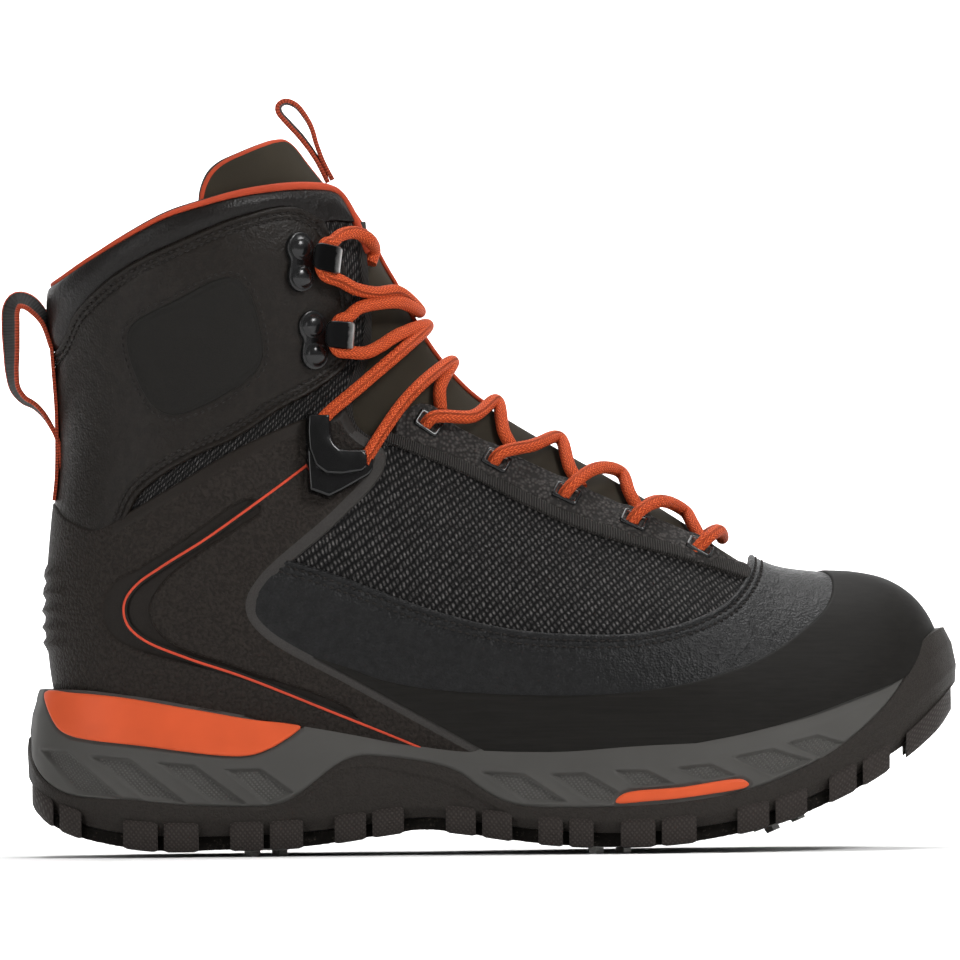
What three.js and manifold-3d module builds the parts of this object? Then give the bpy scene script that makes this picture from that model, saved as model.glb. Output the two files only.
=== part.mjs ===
// A lace-up wading boot for the right foot, men's size 43.
// Millimetres. +X points to the toe, +Y to the inner side of the foot, +Z up; the floor is Z = 0.
// The origin is the middle of the boot's footprint on the floor.
//
// The upper, its overlays, the tongue and the insole are cut from one form, the shape of the last
// with the boot's wall on it. The midsole, outsole, lugs and felt are cut from a second form.
import * as THREE from "three";
import { mergeVertices } from "three/addons/utils/BufferGeometryUtils.js";
import Module from "manifold-3d";

const wasm = await Module();
wasm.setup();

// Driving sizes of the boot
const SOLE_LENGTH = 320; // heel to toe bumper
const SOLE_WIDTH = 121; // across the ball of the sole
const SOLE_HEIGHT = 58; // floor to the midsole's edge at the heel
const UPPER_HEIGHT = 173; // midsole's edge at the heel to the front of the collar
const WELT = 6.5; // sole out from the upper on each side of the ball
const BALL_WIDTH = SOLE_WIDTH - 2 * WELT; // upper across the ball of the foot
const COLLAR_WIDTH = 94; // upper across the collar
const TOE_SWING = 10; // how far the foot's axis swings inwards at the toe

// Thicknesses and clearances
const WALL = 3; // upper's outside, foam and lining
const GAP = 0.3; // between pieces that meet
const TONGUE_THICKNESS = 4.5;
const INSOLE_THICKNESS = 4.5;
const CAGE_THICKNESS = 2.1;
const RAND_THICKNESS = 1.7;
const PANEL_THICKNESS = 1.1; // leather ankle panel and vamp band
const EYESTAY_THICKNESS = 1.6;
const BINDING_WIDTH = 2.6;
const BINDING_PROUD = 0.9;
const PATCH_THICKNESS = 0.7;
const LASTING_MARGIN = 13; // upper turned under the foot, around its open bottom

// Tread
const STUD_PROUD = 2; // studs below the lugs
const LUG_DEPTH = 13; // lugs inwards from the sole's edge
const LUG_PROUD = 1.3; // lugs outwards from the sole's side
const LUG_RISE = 4.5; // lugs up the sole's side, above the tread's floor
const LUG_SLOT = 2.2; // between the two halves of a lug
const TOE_SLOT = 6; // down the middle of the toe's lug
const BUMPER_LAP = 6; // toe rand down behind the top of the toe bumper
const FELT_RECESS = 0.5; // felt above the lugs' feet
const FELT_INSET = 4; // felt in from the sole's edge
const FELT_SPAN = { from: 0.06, to: 0.94 }; // shares of the sole's length
const STUD_RADIUS = 2.6;
const CLEAT_THICKNESS = 1.8;
const CLEAT_RADIUS = 9.5;

// Fittings
const LACE_DIAMETER = 4.5;
const EYELET_LENGTH = 9.5;
const EYELET_WIDTH = 7;
const EYELET_RIM = 1.1;
const EYELET_THICKNESS = 1;
const HOOK_WIDTH = 9; // head, along the shaft
const NECK_WIDTH = 5.6;
const HOOK_REACH = 9.4; // across, from its bend to its tip
const HOOK_METAL = 1.3;
const RIVET_RADIUS = 3.8;
const RIVET_TOP_RADIUS = 2.2;
const RIVET_HEIGHT = 2.2;
const LOCK_THICKNESS = 7.4;
const LOCK_FOOT = 5; // lock's sides down to the curved surface under it
const BORE_DEPTH = 14; // lace's way into the lock
const HEEL_LOOP_WIDTH = 16;
const TONGUE_LOOP_WIDTH = 11;
const WEBBING = 1.5;
const MIDDLE_GAP = 1; // from the boot's middle plane to pieces made for one side

// Mesh fineness
const RINGS = [0, 0.6, 1.6, 3, 4.6, 6.5, 9, 11.5, 14, 16, 17.6, 19, 21, 23.5, 26, 29]; // rows of SECTIONS
const RING_POINTS = 16;
const STATIONS = 16;
const LACE_SIDES = 5;

// Heights over the floor: of the upper, by a share of its height, and of the sole, by a share of its own.
const onUpper = (share) => SOLE_HEIGHT + share * UPPER_HEIGHT;
const onSole = (share) => share * SOLE_HEIGHT;
const along = (share) => share * SOLE_LENGTH;
const table = (names, rows) => rows.map((row) => Object.fromEntries(names.map((name, i) => [name, row[i]])));
const sidePoint = ([x, rise]) => new THREE.Vector2(along(x), onUpper(rise));

// Sections of the boot's form, from the toe's tip to above the collar. Each lies in the plane through
// its front point (toe, instep or shin) and its back point (underfoot, heel or calf).
// frontX, backX: shares of the sole's length. frontRise, backRise: shares of the upper's height.
// ball, collar: half width, as shares of the ball's and the collar's width. swing: share of TOE_SWING.
// widest: where the section is widest, from back 0 to front 1.
// rear, fore: powers of its outline in each half; 2 is round, more is boxy.
const SECTIONS = table(
  ["frontX", "frontRise", "backX", "backRise", "ball", "collar", "swing", "widest", "rear", "fore"],
  [
    [0.979, 0.02, 0.979, 0.02, 0, 0, 1, 0.4, 2, 2],
    [0.976, 0.075, 0.97, -0.037, 0.15, 0, 1, 0.38, 2.4, 2.2],
    [0.966, 0.122, 0.958, -0.08, 0.235, 0, 0.97, 0.35, 3, 2.3],
    [0.948, 0.163, 0.938, -0.112, 0.31, 0, 0.9, 0.32, 3.5, 2.3],
    [0.922, 0.192, 0.914, -0.139, 0.372, 0, 0.8, 0.3, 4, 2.3],
    [0.888, 0.206, 0.882, -0.162, 0.421, 0, 0.66, 0.3, 4, 2.2],
    [0.846, 0.211, 0.842, -0.181, 0.458, 0, 0.48, 0.3, 4, 2.1],
    [0.799, 0.227, 0.795, -0.192, 0.481, 0, 0.28, 0.3, 4, 2],
    [0.752, 0.277, 0.751, -0.195, 0.496, 0, 0.08, 0.3, 4, 1.85],
    [0.714, 0.328, 0.712, -0.194, 0.5, 0, -0.06, 0.3, 4, 1.75],
    [0.67, 0.38, 0.665, -0.191, 0.495, 0, -0.17, 0.3, 4, 1.65],
    [0.623, 0.432, 0.608, -0.186, 0.482, 0, -0.24, 0.3, 4, 1.6],
    [0.575, 0.483, 0.543, -0.177, 0.46, 0, -0.25, 0.3, 3.8, 1.6],
    [0.53, 0.533, 0.47, -0.162, 0.435, 0, -0.2, 0.31, 3.6, 1.6],
    [0.492, 0.578, 0.393, -0.145, 0.415, 0, -0.12, 0.33, 3.4, 1.65],
    [0.466, 0.624, 0.308, -0.129, 0.4, 0, -0.05, 0.36, 3.2, 1.7],
    [0.447, 0.669, 0.217, -0.117, 0.394, 0, 0, 0.39, 3, 1.75],
    [0.434, 0.706, 0.137, -0.108, 0.32, 0.084, 0, 0.42, 2.8, 1.8],
    [0.425, 0.736, 0.075, -0.087, 0.24, 0.172, 0, 0.45, 2.6, 1.8],
    [0.417, 0.765, 0.041, -0.03, 0.16, 0.264, 0, 0.48, 2.4, 1.8],
    [0.41, 0.792, 0.03, 0.07, 0.08, 0.355, 0, 0.5, 2.3, 1.8],
    [0.402, 0.818, 0.028, 0.189, 0, 0.448, 0, 0.51, 2.2, 1.85],
    [0.394, 0.844, 0.034, 0.327, 0, 0.456, 0, 0.52, 2.1, 1.9],
    [0.387, 0.87, 0.041, 0.445, 0, 0.465, 0, 0.52, 2.1, 1.9],
    [0.378, 0.898, 0.04, 0.564, 0, 0.475, 0, 0.52, 2.1, 1.9],
    [0.369, 0.927, 0.036, 0.673, 0, 0.487, 0, 0.51, 2.1, 1.95],
    [0.356, 0.963, 0.031, 0.772, 0, 0.496, 0, 0.5, 2.1, 2],
    [0.342, 1.001, 0.029, 0.84, 0, 0.5, 0, 0.5, 2.1, 2],
    [0.327, 1.043, 0.028, 0.906, 0, 0.5, 0, 0.5, 2.1, 2],
    [0.312, 1.087, 0.028, 0.977, 0, 0.5, 0, 0.5, 2.1, 2],
  ],
);

// Stations of the sole's form, from heel to toe.
// x: share of the length. outer, inner: half widths as shares of the sole's width.
// rim: the midsole's top edge, floor: the rubber above the tread, foot: the lugs' feet,
// as shares of the sole's height.
const SOLE = [
  { x: 0, outer: 0, inner: 0, rim: 1, floor: 0.4, foot: 0.36 },
  { x: 0.009, outer: 0.13, inner: 0.13, rim: 1, floor: 0.34, foot: 0.27 },
  { x: 0.03, outer: 0.225, inner: 0.225, rim: 1, floor: 0.265, foot: 0.175 },
  { x: 0.073, outer: 0.305, inner: 0.3, rim: 0.985, floor: 0.18, foot: 0.09 },
  { x: 0.137, outer: 0.35, inner: 0.342, rim: 0.937, floor: 0.135, foot: 0.035 },
  { x: 0.212, outer: 0.363, inner: 0.35, rim: 0.86, floor: 0.13, foot: 0.035 },
  { x: 0.297, outer: 0.37, inner: 0.345, rim: 0.78, floor: 0.145, foot: 0.05 },
  { x: 0.383, outer: 0.385, inner: 0.34, rim: 0.735, floor: 0.2, foot: 0.115 },
  { x: 0.425, outer: 0.4, inner: 0.345, rim: 0.7, floor: 0.225, foot: 0.143 },
  { x: 0.468, outer: 0.42, inner: 0.36, rim: 0.665, floor: 0.208, foot: 0.12 },
  { x: 0.554, outer: 0.468, inner: 0.405, rim: 0.625, floor: 0.15, foot: 0.055 },
  { x: 0.639, outer: 0.498, inner: 0.46, rim: 0.64, floor: 0.13, foot: 0.035 },
  { x: 0.725, outer: 0.488, inner: 0.495, rim: 0.7, floor: 0.163, foot: 0.068 },
  { x: 0.81, outer: 0.437, inner: 0.492, rim: 0.8, floor: 0.262, foot: 0.173 },
  { x: 0.885, outer: 0.352, inner: 0.455, rim: 0.94, floor: 0.44, foot: 0.345 },
  { x: 0.938, outer: 0.257, inner: 0.395, rim: 1.06, floor: 0.605, foot: 0.52 },
  { x: 0.976, outer: 0.135, inner: 0.305, rim: 1.24, floor: 0.79, foot: 0.69 },
  { x: 0.994, outer: 0.01, inner: 0.2, rim: 1.3, floor: 0.9, foot: 0.82 },
  { x: 1, outer: -0.095, inner: 0.095, rim: 1.31, floor: 0.94, foot: 0.88 },
];

// How far the sole's side stands in from its widest outline, from its floor, 0, to its rim, 1.
const SOLE_SIDE = [
  { level: 0, inset: 2.6 },
  { level: 0.12, inset: 0.4 },
  { level: 0.4, inset: 0 },
  { level: 0.75, inset: 1.5 },
  { level: 1, inset: 4.2 },
];

// Lugs along each side, as shares of the sole's length.
const LUGS = [
  { from: 0.004, to: 0.058 },
  { from: 0.103, to: 0.184 },
  { from: 0.218, to: 0.296 },
  { from: 0.33, to: 0.404 },
  { from: 0.449, to: 0.52 },
  { from: 0.548, to: 0.607 },
  { from: 0.636, to: 0.717 },
  { from: 0.761, to: 0.836 },
  { from: 0.86, to: 0.926 },
];
const TOE_LUG = { from: 0.944, to: 0.985 };

// Cleats under the sole: place along it, and across it as a share of its width.
const CLEATS = [
  { name: "cleat_heel_outer", x: 0.25, y: -0.15 },
  { name: "cleat_heel_inner", x: 0.25, y: 0.14 },
  { name: "cleat_ball_outer", x: 0.62, y: -0.25 },
  { name: "cleat_ball_inner", x: 0.62, y: 0.22 },
  { name: "cleat_toe_outer", x: 0.81, y: -0.14 },
  { name: "cleat_toe_inner", x: 0.81, y: 0.2 },
];

// Outlines seen from the side: [share of the sole's length, share of the upper's height].
const COLLAR_EDGE = [
  [0.019, 0.81], [0.032, 0.82], [0.071, 0.866], [0.118, 0.917], [0.156, 0.953], [0.193, 0.975],
  [0.24, 0.995], [0.302, 1.004], [0.335, 0.993], [0.354, 0.943], [0.369, 0.864],
];
const THROAT_EDGE = [
  [0.369, 0.864], [0.374, 0.7], [0.37, 0.645], [0.354, 0.57], [0.357, 0.52], [0.38, 0.49],
  [0.398, 0.496], [0.404, 0.536], [0.424, 0.558], [0.44, 0.55], [0.463, 0.515], [0.492, 0.486],
  [0.618, 0.373], [0.725, 0.284], [0.755, 0.245], [0.775, 0.232], [0.782, 0.25],
];
const CAGE = [
  [-0.03, 0.383], [0.03, 0.38], [0.05, 0.338], [0.08, 0.314], [0.137, 0.364], [0.244, 0.467],
  [0.302, 0.525], [0.345, 0.552], [0.358, 0.508], [0.388, 0.464], [0.384, 0.42], [0.34, 0.331],
  [0.261, 0.202], [0.25, 0.16], [0.263, 0.123], [0.361, 0.018], [0.511, -0.135], [0.511, -0.4],
  [-0.03, -0.4],
];
const RAND_EDGE = [
  [0.28, 0.078], [0.345, 0.04], [0.383, 0.014], [0.44, -0.006], [0.575, -0.02], [0.66, -0.013], [0.725, 0.007],
  [0.789, 0.047], [0.831, 0.096], [0.861, 0.15], [0.866, 0.19], [0.85, 0.207], [0.808, 0.21],
];
const RAND_REST = [[0.808, 0.4], [1.1, 0.4], [1.1, -0.5], [0.28, -0.5]];
const BAND_EDGE = [
  [0.238, 0.278], [0.322, 0.23], [0.439, 0.149], [0.52, 0.111], [0.6, 0.098], [0.66, 0.1],
  [0.715, 0.124], [0.76, 0.162], [0.788, 0.21],
];
const BAND_REST = [[0.788, 0.4], [1.1, 0.4], [1.1, -0.3], [0.238, -0.3]];
const PANEL_TOP = [
  [-0.03, 0.66], [0.035, 0.669], [0.062, 0.757], [0.107, 0.83], [0.173, 0.89], [0.238, 0.936],
  [0.29, 0.952], [0.322, 0.925],
];
const PANEL_FRONT = [[0.345, 0.83], [0.353, 0.74], [0.352, 0.66], [0.345, 0.617]];
const PANEL_LOW = [
  [0.308, 0.559], [0.254, 0.491], [0.201, 0.448], [0.153, 0.404], [0.124, 0.351], [0.11, 0.3],
];
const PATCH = [
  [0.119, 0.721], [0.164, 0.769], [0.222, 0.815], [0.24, 0.795], [0.257, 0.659], [0.245, 0.618],
  [0.164, 0.542], [0.14, 0.565], [0.115, 0.681],
];
const EYESTAY_LOW = [
  [0.383, 0.487], [0.472, 0.419], [0.538, 0.355], [0.603, 0.302], [0.733, 0.228], [0.768, 0.195],
];
const TONGUE_TOP = [
  [0.192, 0.95], [0.193, 0.974], [0.204, 1.021], [0.224, 1.049], [0.254, 1.07], [0.285, 1.081],
  [0.303, 1.078],
];
const TONGUE_REAR = [[0.775, 0.15], [0.6, 0.31], [0.42, 0.45], [0.34, 0.47], [0.29, 0.7]];

// The midsole's lower edge, where the rubber of the outsole starts:
// [share of the sole's length, share of the sole's height].
const RUBBER_EDGE = [
  [-0.02, 0.76], [0, 0.739], [0.004, 0.591], [0.014, 0.485], [0.041, 0.383], [0.115, 0.343],
  [0.19, 0.303], [0.265, 0.305], [0.283, 0.339], [0.335, 0.549], [0.353, 0.589], [0.37, 0.594],
  [0.436, 0.543], [0.464, 0.488], [0.489, 0.386], [0.511, 0.32], [0.532, 0.289], [0.628, 0.278],
  [0.725, 0.32], [0.789, 0.398], [0.864, 0.589], [0.917, 0.804], [0.944, 0.95], [0.965, 1.125],
  [0.979, 1.4],
];
// Orange inserts in the midsole's sides, in the same shares.
const HEEL_PANEL = [
  [0.02, 0.955], [0.1, 0.93], [0.173, 0.86], [0.288, 0.735], [0.281, 0.705], [0.26, 0.63],
  [0.235, 0.592], [0.126, 0.665], [0.043, 0.737], [0.033, 0.78],
];
const FORE_STRIP = [
  [0.629, 0.3], [0.632, 0.335], [0.642, 0.367], [0.703, 0.398], [0.757, 0.44], [0.769, 0.435],
  [0.776, 0.395], [0.716, 0.33], [0.667, 0.304],
];
const INSERT_DEPTH = 2.2;
const INSERT_PROUD = 0.35;

// Fittings on each side of the boot, in the shares of its side view.
// turn: degrees of the fitting's own X from +X.
const EYELETS = [
  { x: 0.433, rise: 0.517, turn: -33 },
  { x: 0.506, rise: 0.44, turn: -31 },
  { x: 0.581, rise: 0.372, turn: -29 },
  { x: 0.653, rise: 0.317, turn: -26 },
  { x: 0.722, rise: 0.262, turn: -25 },
];
const HOOKS = [
  { x: 0.317, rise: 0.845, turn: -7 },
  { x: 0.331, rise: 0.697, turn: -4 },
];
const LOCK = { x: 0.329, rise: 0.459, turn: 0 };
const RIVETS = [[-8.8, 2.6], [-7, -7.2]]; // from the hook's middle
const HOOK_PLATE = [
  [-3, -4], [-2.6, -8.6], [-5.2, -11.6], [-9.2, -11.4], [-11.8, -8.2], [-11.4, -3.2], [-13.4, 0.6],
  [-12.8, 5.2], [-9, 7.4], [-5, 6.2], [-3, 4],
];
// The lace lock's outline, from its middle, as the two arms of an elbow.
const LOCK_OUTLINE = [
  [-7.9, 14.4], [0.3, 14.4], [0.5, 6.5], [2.7, 2.7], [4.4, 1.7], [11.6, 1.7], [13.3, -4.4],
  [5.1, -11.3], [-0.7, -13.7], [-5.8, -12], [-7.5, -4.8],
];

const UPPER_BORE = [-3.6, 12]; // middles of the lace's two ways into the lock
const LOWER_BORE = [12, -2.2];

// The lace, in the side view's shares; ridge is a share of the length. Each strand is drawn once and mirrored.
// Crossings over the instep, one from each eyelet but the last.
const VAMP_CROSSINGS = [
  { via: [0.474, 0.517], ridge: 0.507, tuck: [0.516, 0.498] },
  { via: [0.54, 0.455], ridge: 0.574, tuck: [0.586, 0.428] },
  { via: [0.607, 0.405], ridge: 0.64, tuck: [0.65, 0.376] },
  { via: [0.675, 0.338], ridge: 0.708, tuck: [0.717, 0.315] },
];
const TOE_BAR = { via: [0.736, 0.277], ridge: 0.748 };
const LOCK_CROSSING = {
  out: [[0.371, 0.441], [0.387, 0.508], [0.406, 0.557], [0.428, 0.6]],
  ridge: 0.459,
  tuck: [0.447, 0.59],
};
// The lace over the ankle, in the order in which it runs. "near" is the side that it starts on.
const ANKLE_LACE = {
  nearOut: [[0.325, 0.559], [0.346, 0.582], [0.38, 0.627], [0.407, 0.666]],
  lowerRidge: 0.4318,
  farIn: [[0.401, 0.695], [0.383, 0.674], [0.368, 0.662], [0.353, 0.663]],
  farOut: [[0.349, 0.732], [0.361, 0.75], [0.38, 0.759], [0.405, 0.762]],
  upperRidge: 0.4235,
  nearIn: [[0.402, 0.784], [0.38, 0.781], [0.358, 0.789], [0.342, 0.805]],
  nearEnd: [
    [0.333, 0.881], [0.342, 0.895], [0.358, 0.901], [0.373, 0.888], [0.378, 0.864],
  ],
};
// The lace behind a hook's neck, from the hook's middle: [share of the length, share of the upper's height].
const BEHIND_NECK = [[-0.001, -0.03], [-0.006, 0], [-0.001, 0.03]];

// Loops of webbing seen from the side, in the side view's shares.
const HEEL_LOOP_OUTER = [
  [0.022, 0.68], [0.014, 0.74], [0, 0.772], [-0.008, 0.78], [-0.018, 0.768], [-0.0215, 0.74],
  [-0.019, 0.68], [-0.018, 0.62], [-0.013, 0.574], [-0.004, 0.556], [0.008, 0.543], [0.02, 0.515],
  [0.027, 0.47], [0.024, 0.42],
];
const HEEL_LOOP_INNER = [0.42, 0.5, 0.56, 0.62, 0.68]; // heights, up the back of the panel
const HEEL_ROW = 20; // row of SECTIONS from which its back points rise up the heel
const TONGUE_LOOP = [
  [0.329, 1.003], [0.317, 1.05], [0.301, 1.093], [0.287, 1.122], [0.277, 1.145],
  [0.277, 1.157], [0.284, 1.165], [0.295, 1.158], [0.305, 1.136], [0.312, 1.112], [0.317, 1.08],
  [0.324, 1.045], [0.334, 1.008],
];

// Smooth curve through a table's rows: the value at row t, where 2.5 is half way from row 2 to row 3.
function smooth(values, t) {
  const i = Math.min(Math.max(Math.floor(t), 0), values.length - 2);
  const f = t - i;
  const [a, b, c, d] = [-1, 0, 1, 2].map((k) => values[Math.min(Math.max(i + k, 0), values.length - 1)]);
  return b + 0.5 * f * (c - a + f * (2 * a - 5 * b + 4 * c - d + f * (3 * (b - c) + d - a)));
}

// Straight line between the rows of two columns: y where the first column is x.
function between(xs, ys, x) {
  const i = Math.min(Math.max(xs.findIndex((v) => v > x) - 1, 0), xs.length - 2);
  const last = x >= xs[xs.length - 1] ? xs.length - 2 : i;
  const f = (x - xs[last]) / (xs[last + 1] - xs[last]);
  return ys[last] + THREE.MathUtils.clamp(f, 0, 1) * (ys[last + 1] - ys[last]);
}

// Booleans

function solidOf(geometry) {
  const plain = new THREE.BufferGeometry().setAttribute("position", geometry.getAttribute("position"));
  plain.setIndex(geometry.index);
  const merged = mergeVertices(plain, 1e-3);
  const triangles = [];
  for (let i = 0; i < merged.index.count; i += 3) {
    const [a, b, c] = [0, 1, 2].map((k) => merged.index.getX(i + k));
    if (a !== b && b !== c && a !== c) triangles.push(a, b, c);
  }
  const made = new wasm.Manifold(
    new wasm.Mesh({
      numProp: 3,
      vertProperties: merged.attributes.position.array,
      triVerts: new Uint32Array(triangles),
    }),
  );
  if (made.volume() > 0) return made;
  triangles.reverse();
  return new wasm.Manifold(
    new wasm.Mesh({
      numProp: 3,
      vertProperties: merged.attributes.position.array,
      triVerts: new Uint32Array(triangles),
    }),
  );
}

function geometryOf(solid) {
  const mesh = solid.getMesh();
  const geometry = new THREE.BufferGeometry();
  geometry.setAttribute("position", new THREE.BufferAttribute(new Float32Array(mesh.vertProperties), 3));
  geometry.setIndex(new THREE.BufferAttribute(new Uint32Array(mesh.triVerts), 1));
  geometry.computeVertexNormals();
  return geometry;
}

// Closed solid through rings of equally many points. Its ends are fans, which vanish where a ring
// is one point or a doubled line.
function loft(rings, capped = true) {
  const count = rings[0].length;
  const points = rings.flat();
  const triangles = [];
  for (let i = 0; i + 1 < rings.length; i++)
    for (let j = 0; j < count; j++) {
      const [a, b] = [i * count + j, i * count + ((j + 1) % count)];
      triangles.push(a, b, b + count, a, b + count, a + count);
    }
  if (capped)
    for (const [base, turn] of [[0, true], [(rings.length - 1) * count, false]])
      for (let j = 1; j + 1 < count; j++)
        triangles.push(base, base + (turn ? j + 1 : j), base + (turn ? j : j + 1));
  const geometry = new THREE.BufferGeometry().setFromPoints(points);
  geometry.setIndex(triangles);
  return solidOf(geometry);
}

// Prism of a side-view outline, right through the boot or from one Y to another.
const FAR = 100;
const REACH = 3 * SOLE_LENGTH;
function prism(outline, low = -FAR, high = FAR) {
  const shape = new THREE.Shape(outline);
  const geometry = new THREE.ExtrudeGeometry(shape, { depth: high - low, bevelEnabled: false });
  geometry.rotateX(Math.PI / 2).translate(0, high, 0);
  return solidOf(geometry);
}

// An outline moved outwards by a distance, or inwards if it is negative.
function grown(outline, distance) {
  const turn = THREE.ShapeUtils.area(outline) > 0 ? 1 : -1;
  return outline.map((p, i) => {
    const before = outline[(i + outline.length - 1) % outline.length];
    const after = outline[(i + 1) % outline.length];
    const [u, v] = [p.clone().sub(before).normalize(), after.clone().sub(p).normalize()];
    const normal = new THREE.Vector2(u.y + v.y, -u.x - v.x).multiplyScalar(turn);
    const share = distance / Math.max(1 + u.dot(v), 0.4);
    return p.clone().addScaledVector(normal, share);
  });
}

const box = (sizeX, sizeY, sizeZ, x, y, z) =>
  solidOf(new THREE.BoxGeometry(sizeX, sizeY, sizeZ).translate(x, y, z));
const union = (solids) => solids.reduce((sum, solid) => sum.add(solid));

// All of one side of the boot: the outer side is -1, the inner side 1.
const sideBlock = (side) => box(REACH, FAR, REACH, 0, side * (FAR / 2 + MIDDLE_GAP), 0);

// The boot's form

const column = (rows, pick, t) => smooth(rows.map(pick), t);
const read = (name, t) => column(SECTIONS, (row) => row[name], t);
const backPoint = (t) => sidePoint([read("backX", t), read("backRise", t)]);
const frontPoint = (t) => sidePoint([read("frontX", t), read("frontRise", t)]);

// Point of the form at section t and angle turn: 0 is the back, 90 degrees the widest place,
// 180 the front; the sign picks the side.
function formPoint(t, turn) {
  const [bottom, top] = [backPoint(t), frontPoint(t)];
  const width = read("ball", t) * BALL_WIDTH + read("collar", t) * COLLAR_WIDTH;
  const middle = read("swing", t) * TOE_SWING;
  const widest = read("widest", t);
  const lean = Math.cos(turn);
  const power = read(lean > 0 ? "rear" : "fore", t);
  const share = Math.pow((1 - lean) / 2, Math.log(widest) / Math.log(0.5));
  const half = Math.max(width, 0) * Math.pow(Math.max(1 - Math.pow(Math.abs(lean), power), 0), 1 / power);
  return new THREE.Vector3(
    bottom.x + share * (top.x - bottom.x),
    middle + Math.sign(Math.sin(turn)) * half * (Math.abs(Math.sin(turn)) < 1e-9 ? 0 : 1),
    bottom.y + share * (top.y - bottom.y),
  );
}

// Outward direction of the form there.
function formNormal(t, turn) {
  const step = 0.02;
  const row = THREE.MathUtils.clamp(t, 0.35, SECTIONS.length - 1 - step);
  const [ahead, behind] = [formPoint(row + step, turn), formPoint(row - step, turn)];
  const [left, right] = [formPoint(row, turn + step), formPoint(row, turn - step)];
  return new THREE.Vector3().crossVectors(ahead.sub(behind), left.sub(right)).normalize();
}

// The form swollen by a distance, or shrunk if it is negative.
function form(distance) {
  const rings = [];
  for (const t of RINGS)
    rings.push(
      Array.from({ length: RING_POINTS }, (_, j) => {
        const turn = (2 * Math.PI * j) / RING_POINTS;
        return formPoint(t, turn).addScaledVector(formNormal(t, turn), distance);
      }),
    );
  rings[0] = rings[0].map(() => rings[0][0]);
  return loft(rings);
}

// The form's section and angle at a place in the side view, and the point and normal there.
function onForm([x, rise], side, distance) {
  const target = sidePoint([x, rise]);
  const chord = (t) => {
    const [bottom, top] = [backPoint(t), frontPoint(t)];
    const span = top.clone().sub(bottom);
    const from = target.clone().sub(bottom);
    return { off: span.cross(from) / span.length(), share: span.dot(from) / span.lengthSq() };
  };
  let [low, high] = [1, SECTIONS.length - 1];
  for (let i = 0; i < 40; i++) {
    const middle = (low + high) / 2;
    if (chord(middle).off > 0) low = middle;
    else high = middle;
  }
  const t = (low + high) / 2;
  const widest = read("widest", t);
  const share = THREE.MathUtils.clamp(chord(t).share, 0.001, 0.999);
  const lean = 1 - 2 * Math.pow(share, Math.log(0.5) / Math.log(widest));
  const turn = side * Math.acos(THREE.MathUtils.clamp(lean, -1, 1));
  const normal = formNormal(t, turn);
  return { point: formPoint(t, turn).addScaledVector(normal, distance), normal };
}

// The point at a distance over the form that shows at a place of the side view.
function seenAt([x, rise], side, distance) {
  const target = sidePoint([x, rise]);
  const base = [x, rise];
  let found;
  for (let i = 0; i < 5; i++) {
    found = onForm(base, side, distance).point;
    base[0] += (target.x - found.x) / SOLE_LENGTH;
    base[1] += (target.y - found.z) / UPPER_HEIGHT;
  }
  return found;
}

// Point over the ridge of the instep or shin, at a share of the length.
function onRidge(x, distance) {
  let [low, high] = [5, SECTIONS.length - 1];
  for (let i = 0; i < 40; i++) {
    const middle = (low + high) / 2;
    if (read("frontX", middle) > x) low = middle;
    else high = middle;
  }
  return formPoint(low, Math.PI).addScaledVector(formNormal(low, Math.PI), distance);
}

// The sole's form

// Solid over the sole's outline, from one height to another; offset moves its side outwards
// and levels shape that side.
function soleForm({ low, high, offset = 0, levels = SOLE_SIDE }) {
  const stations = Array.from({ length: STATIONS + 1 }, (_, i) => {
    const even = 0.5 - 0.5 * Math.cos((Math.PI * i) / STATIONS);
    const t = (0.55 * even + 0.45 * (i / STATIONS)) * (SOLE.length - 1);
    const read = (name) => column(SOLE, (row) => row[name], t);
    const ends = i === 0 || i === STATIONS;
    const middle = (SOLE_WIDTH * (read("inner") - read("outer"))) / 2;
    return {
      t,
      x: along(read("x")),
      outer: ends ? middle : -SOLE_WIDTH * read("outer"),
      inner: ends ? middle : SOLE_WIDTH * read("inner"),
    };
  });
  const rings = stations.map((station, i) => {
    const [before, after] = [stations[Math.max(i - 1, 0)], stations[Math.min(i + 1, STATIONS)]];
    const edge = (name, sign) => {
      const end = i === 0 ? -1 : i === STATIONS ? 1 : 0;
      const slope = new THREE.Vector2(after.x - before.x, after[name] - before[name]).normalize();
      return end ? new THREE.Vector2(end, 0) : new THREE.Vector2(-sign * slope.y, sign * slope.x);
    };
    const [bottom, top] = [low(station.t), high(station.t)];
    const side = (name, sign) =>
      levels.map(({ level, inset }) => {
        const out = edge(name, sign).multiplyScalar(offset - inset);
        return new THREE.Vector3(station.x + out.x, station[name] + out.y, bottom + level * (top - bottom));
      });
    return [...side("outer", -1), ...side("inner", 1).reverse()];
  });
  return loft(rings, false);
}

const soleLine = (name, lift = 0) => (t) => onSole(column(SOLE, (row) => row[name], t)) + lift;
const STRAIGHT_SIDE = [{ level: 0, inset: 0 }, { level: 1, inset: 0 }];

// Form pieces used again and again
const outside = form(0);
const clearOfUpper = form(GAP);
const clearOfPanel = form(2 * GAP + PANEL_THICKNESS);
const clearOfEyestay = form(2 * GAP + EYESTAY_THICKNESS);
const overlays = new Map();
function overlay(outline, from, to) {
  for (const distance of [from, to]) if (!overlays.has(distance)) overlays.set(distance, form(distance));
  return overlays.get(to).subtract(overlays.get(from)).intersect(prism(outline));
}
const outlineOf = (points) => points.map(sidePoint);
const soleOutline = (points) => points.map(([x, share]) => new THREE.Vector2(along(x), onSole(share)));

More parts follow.
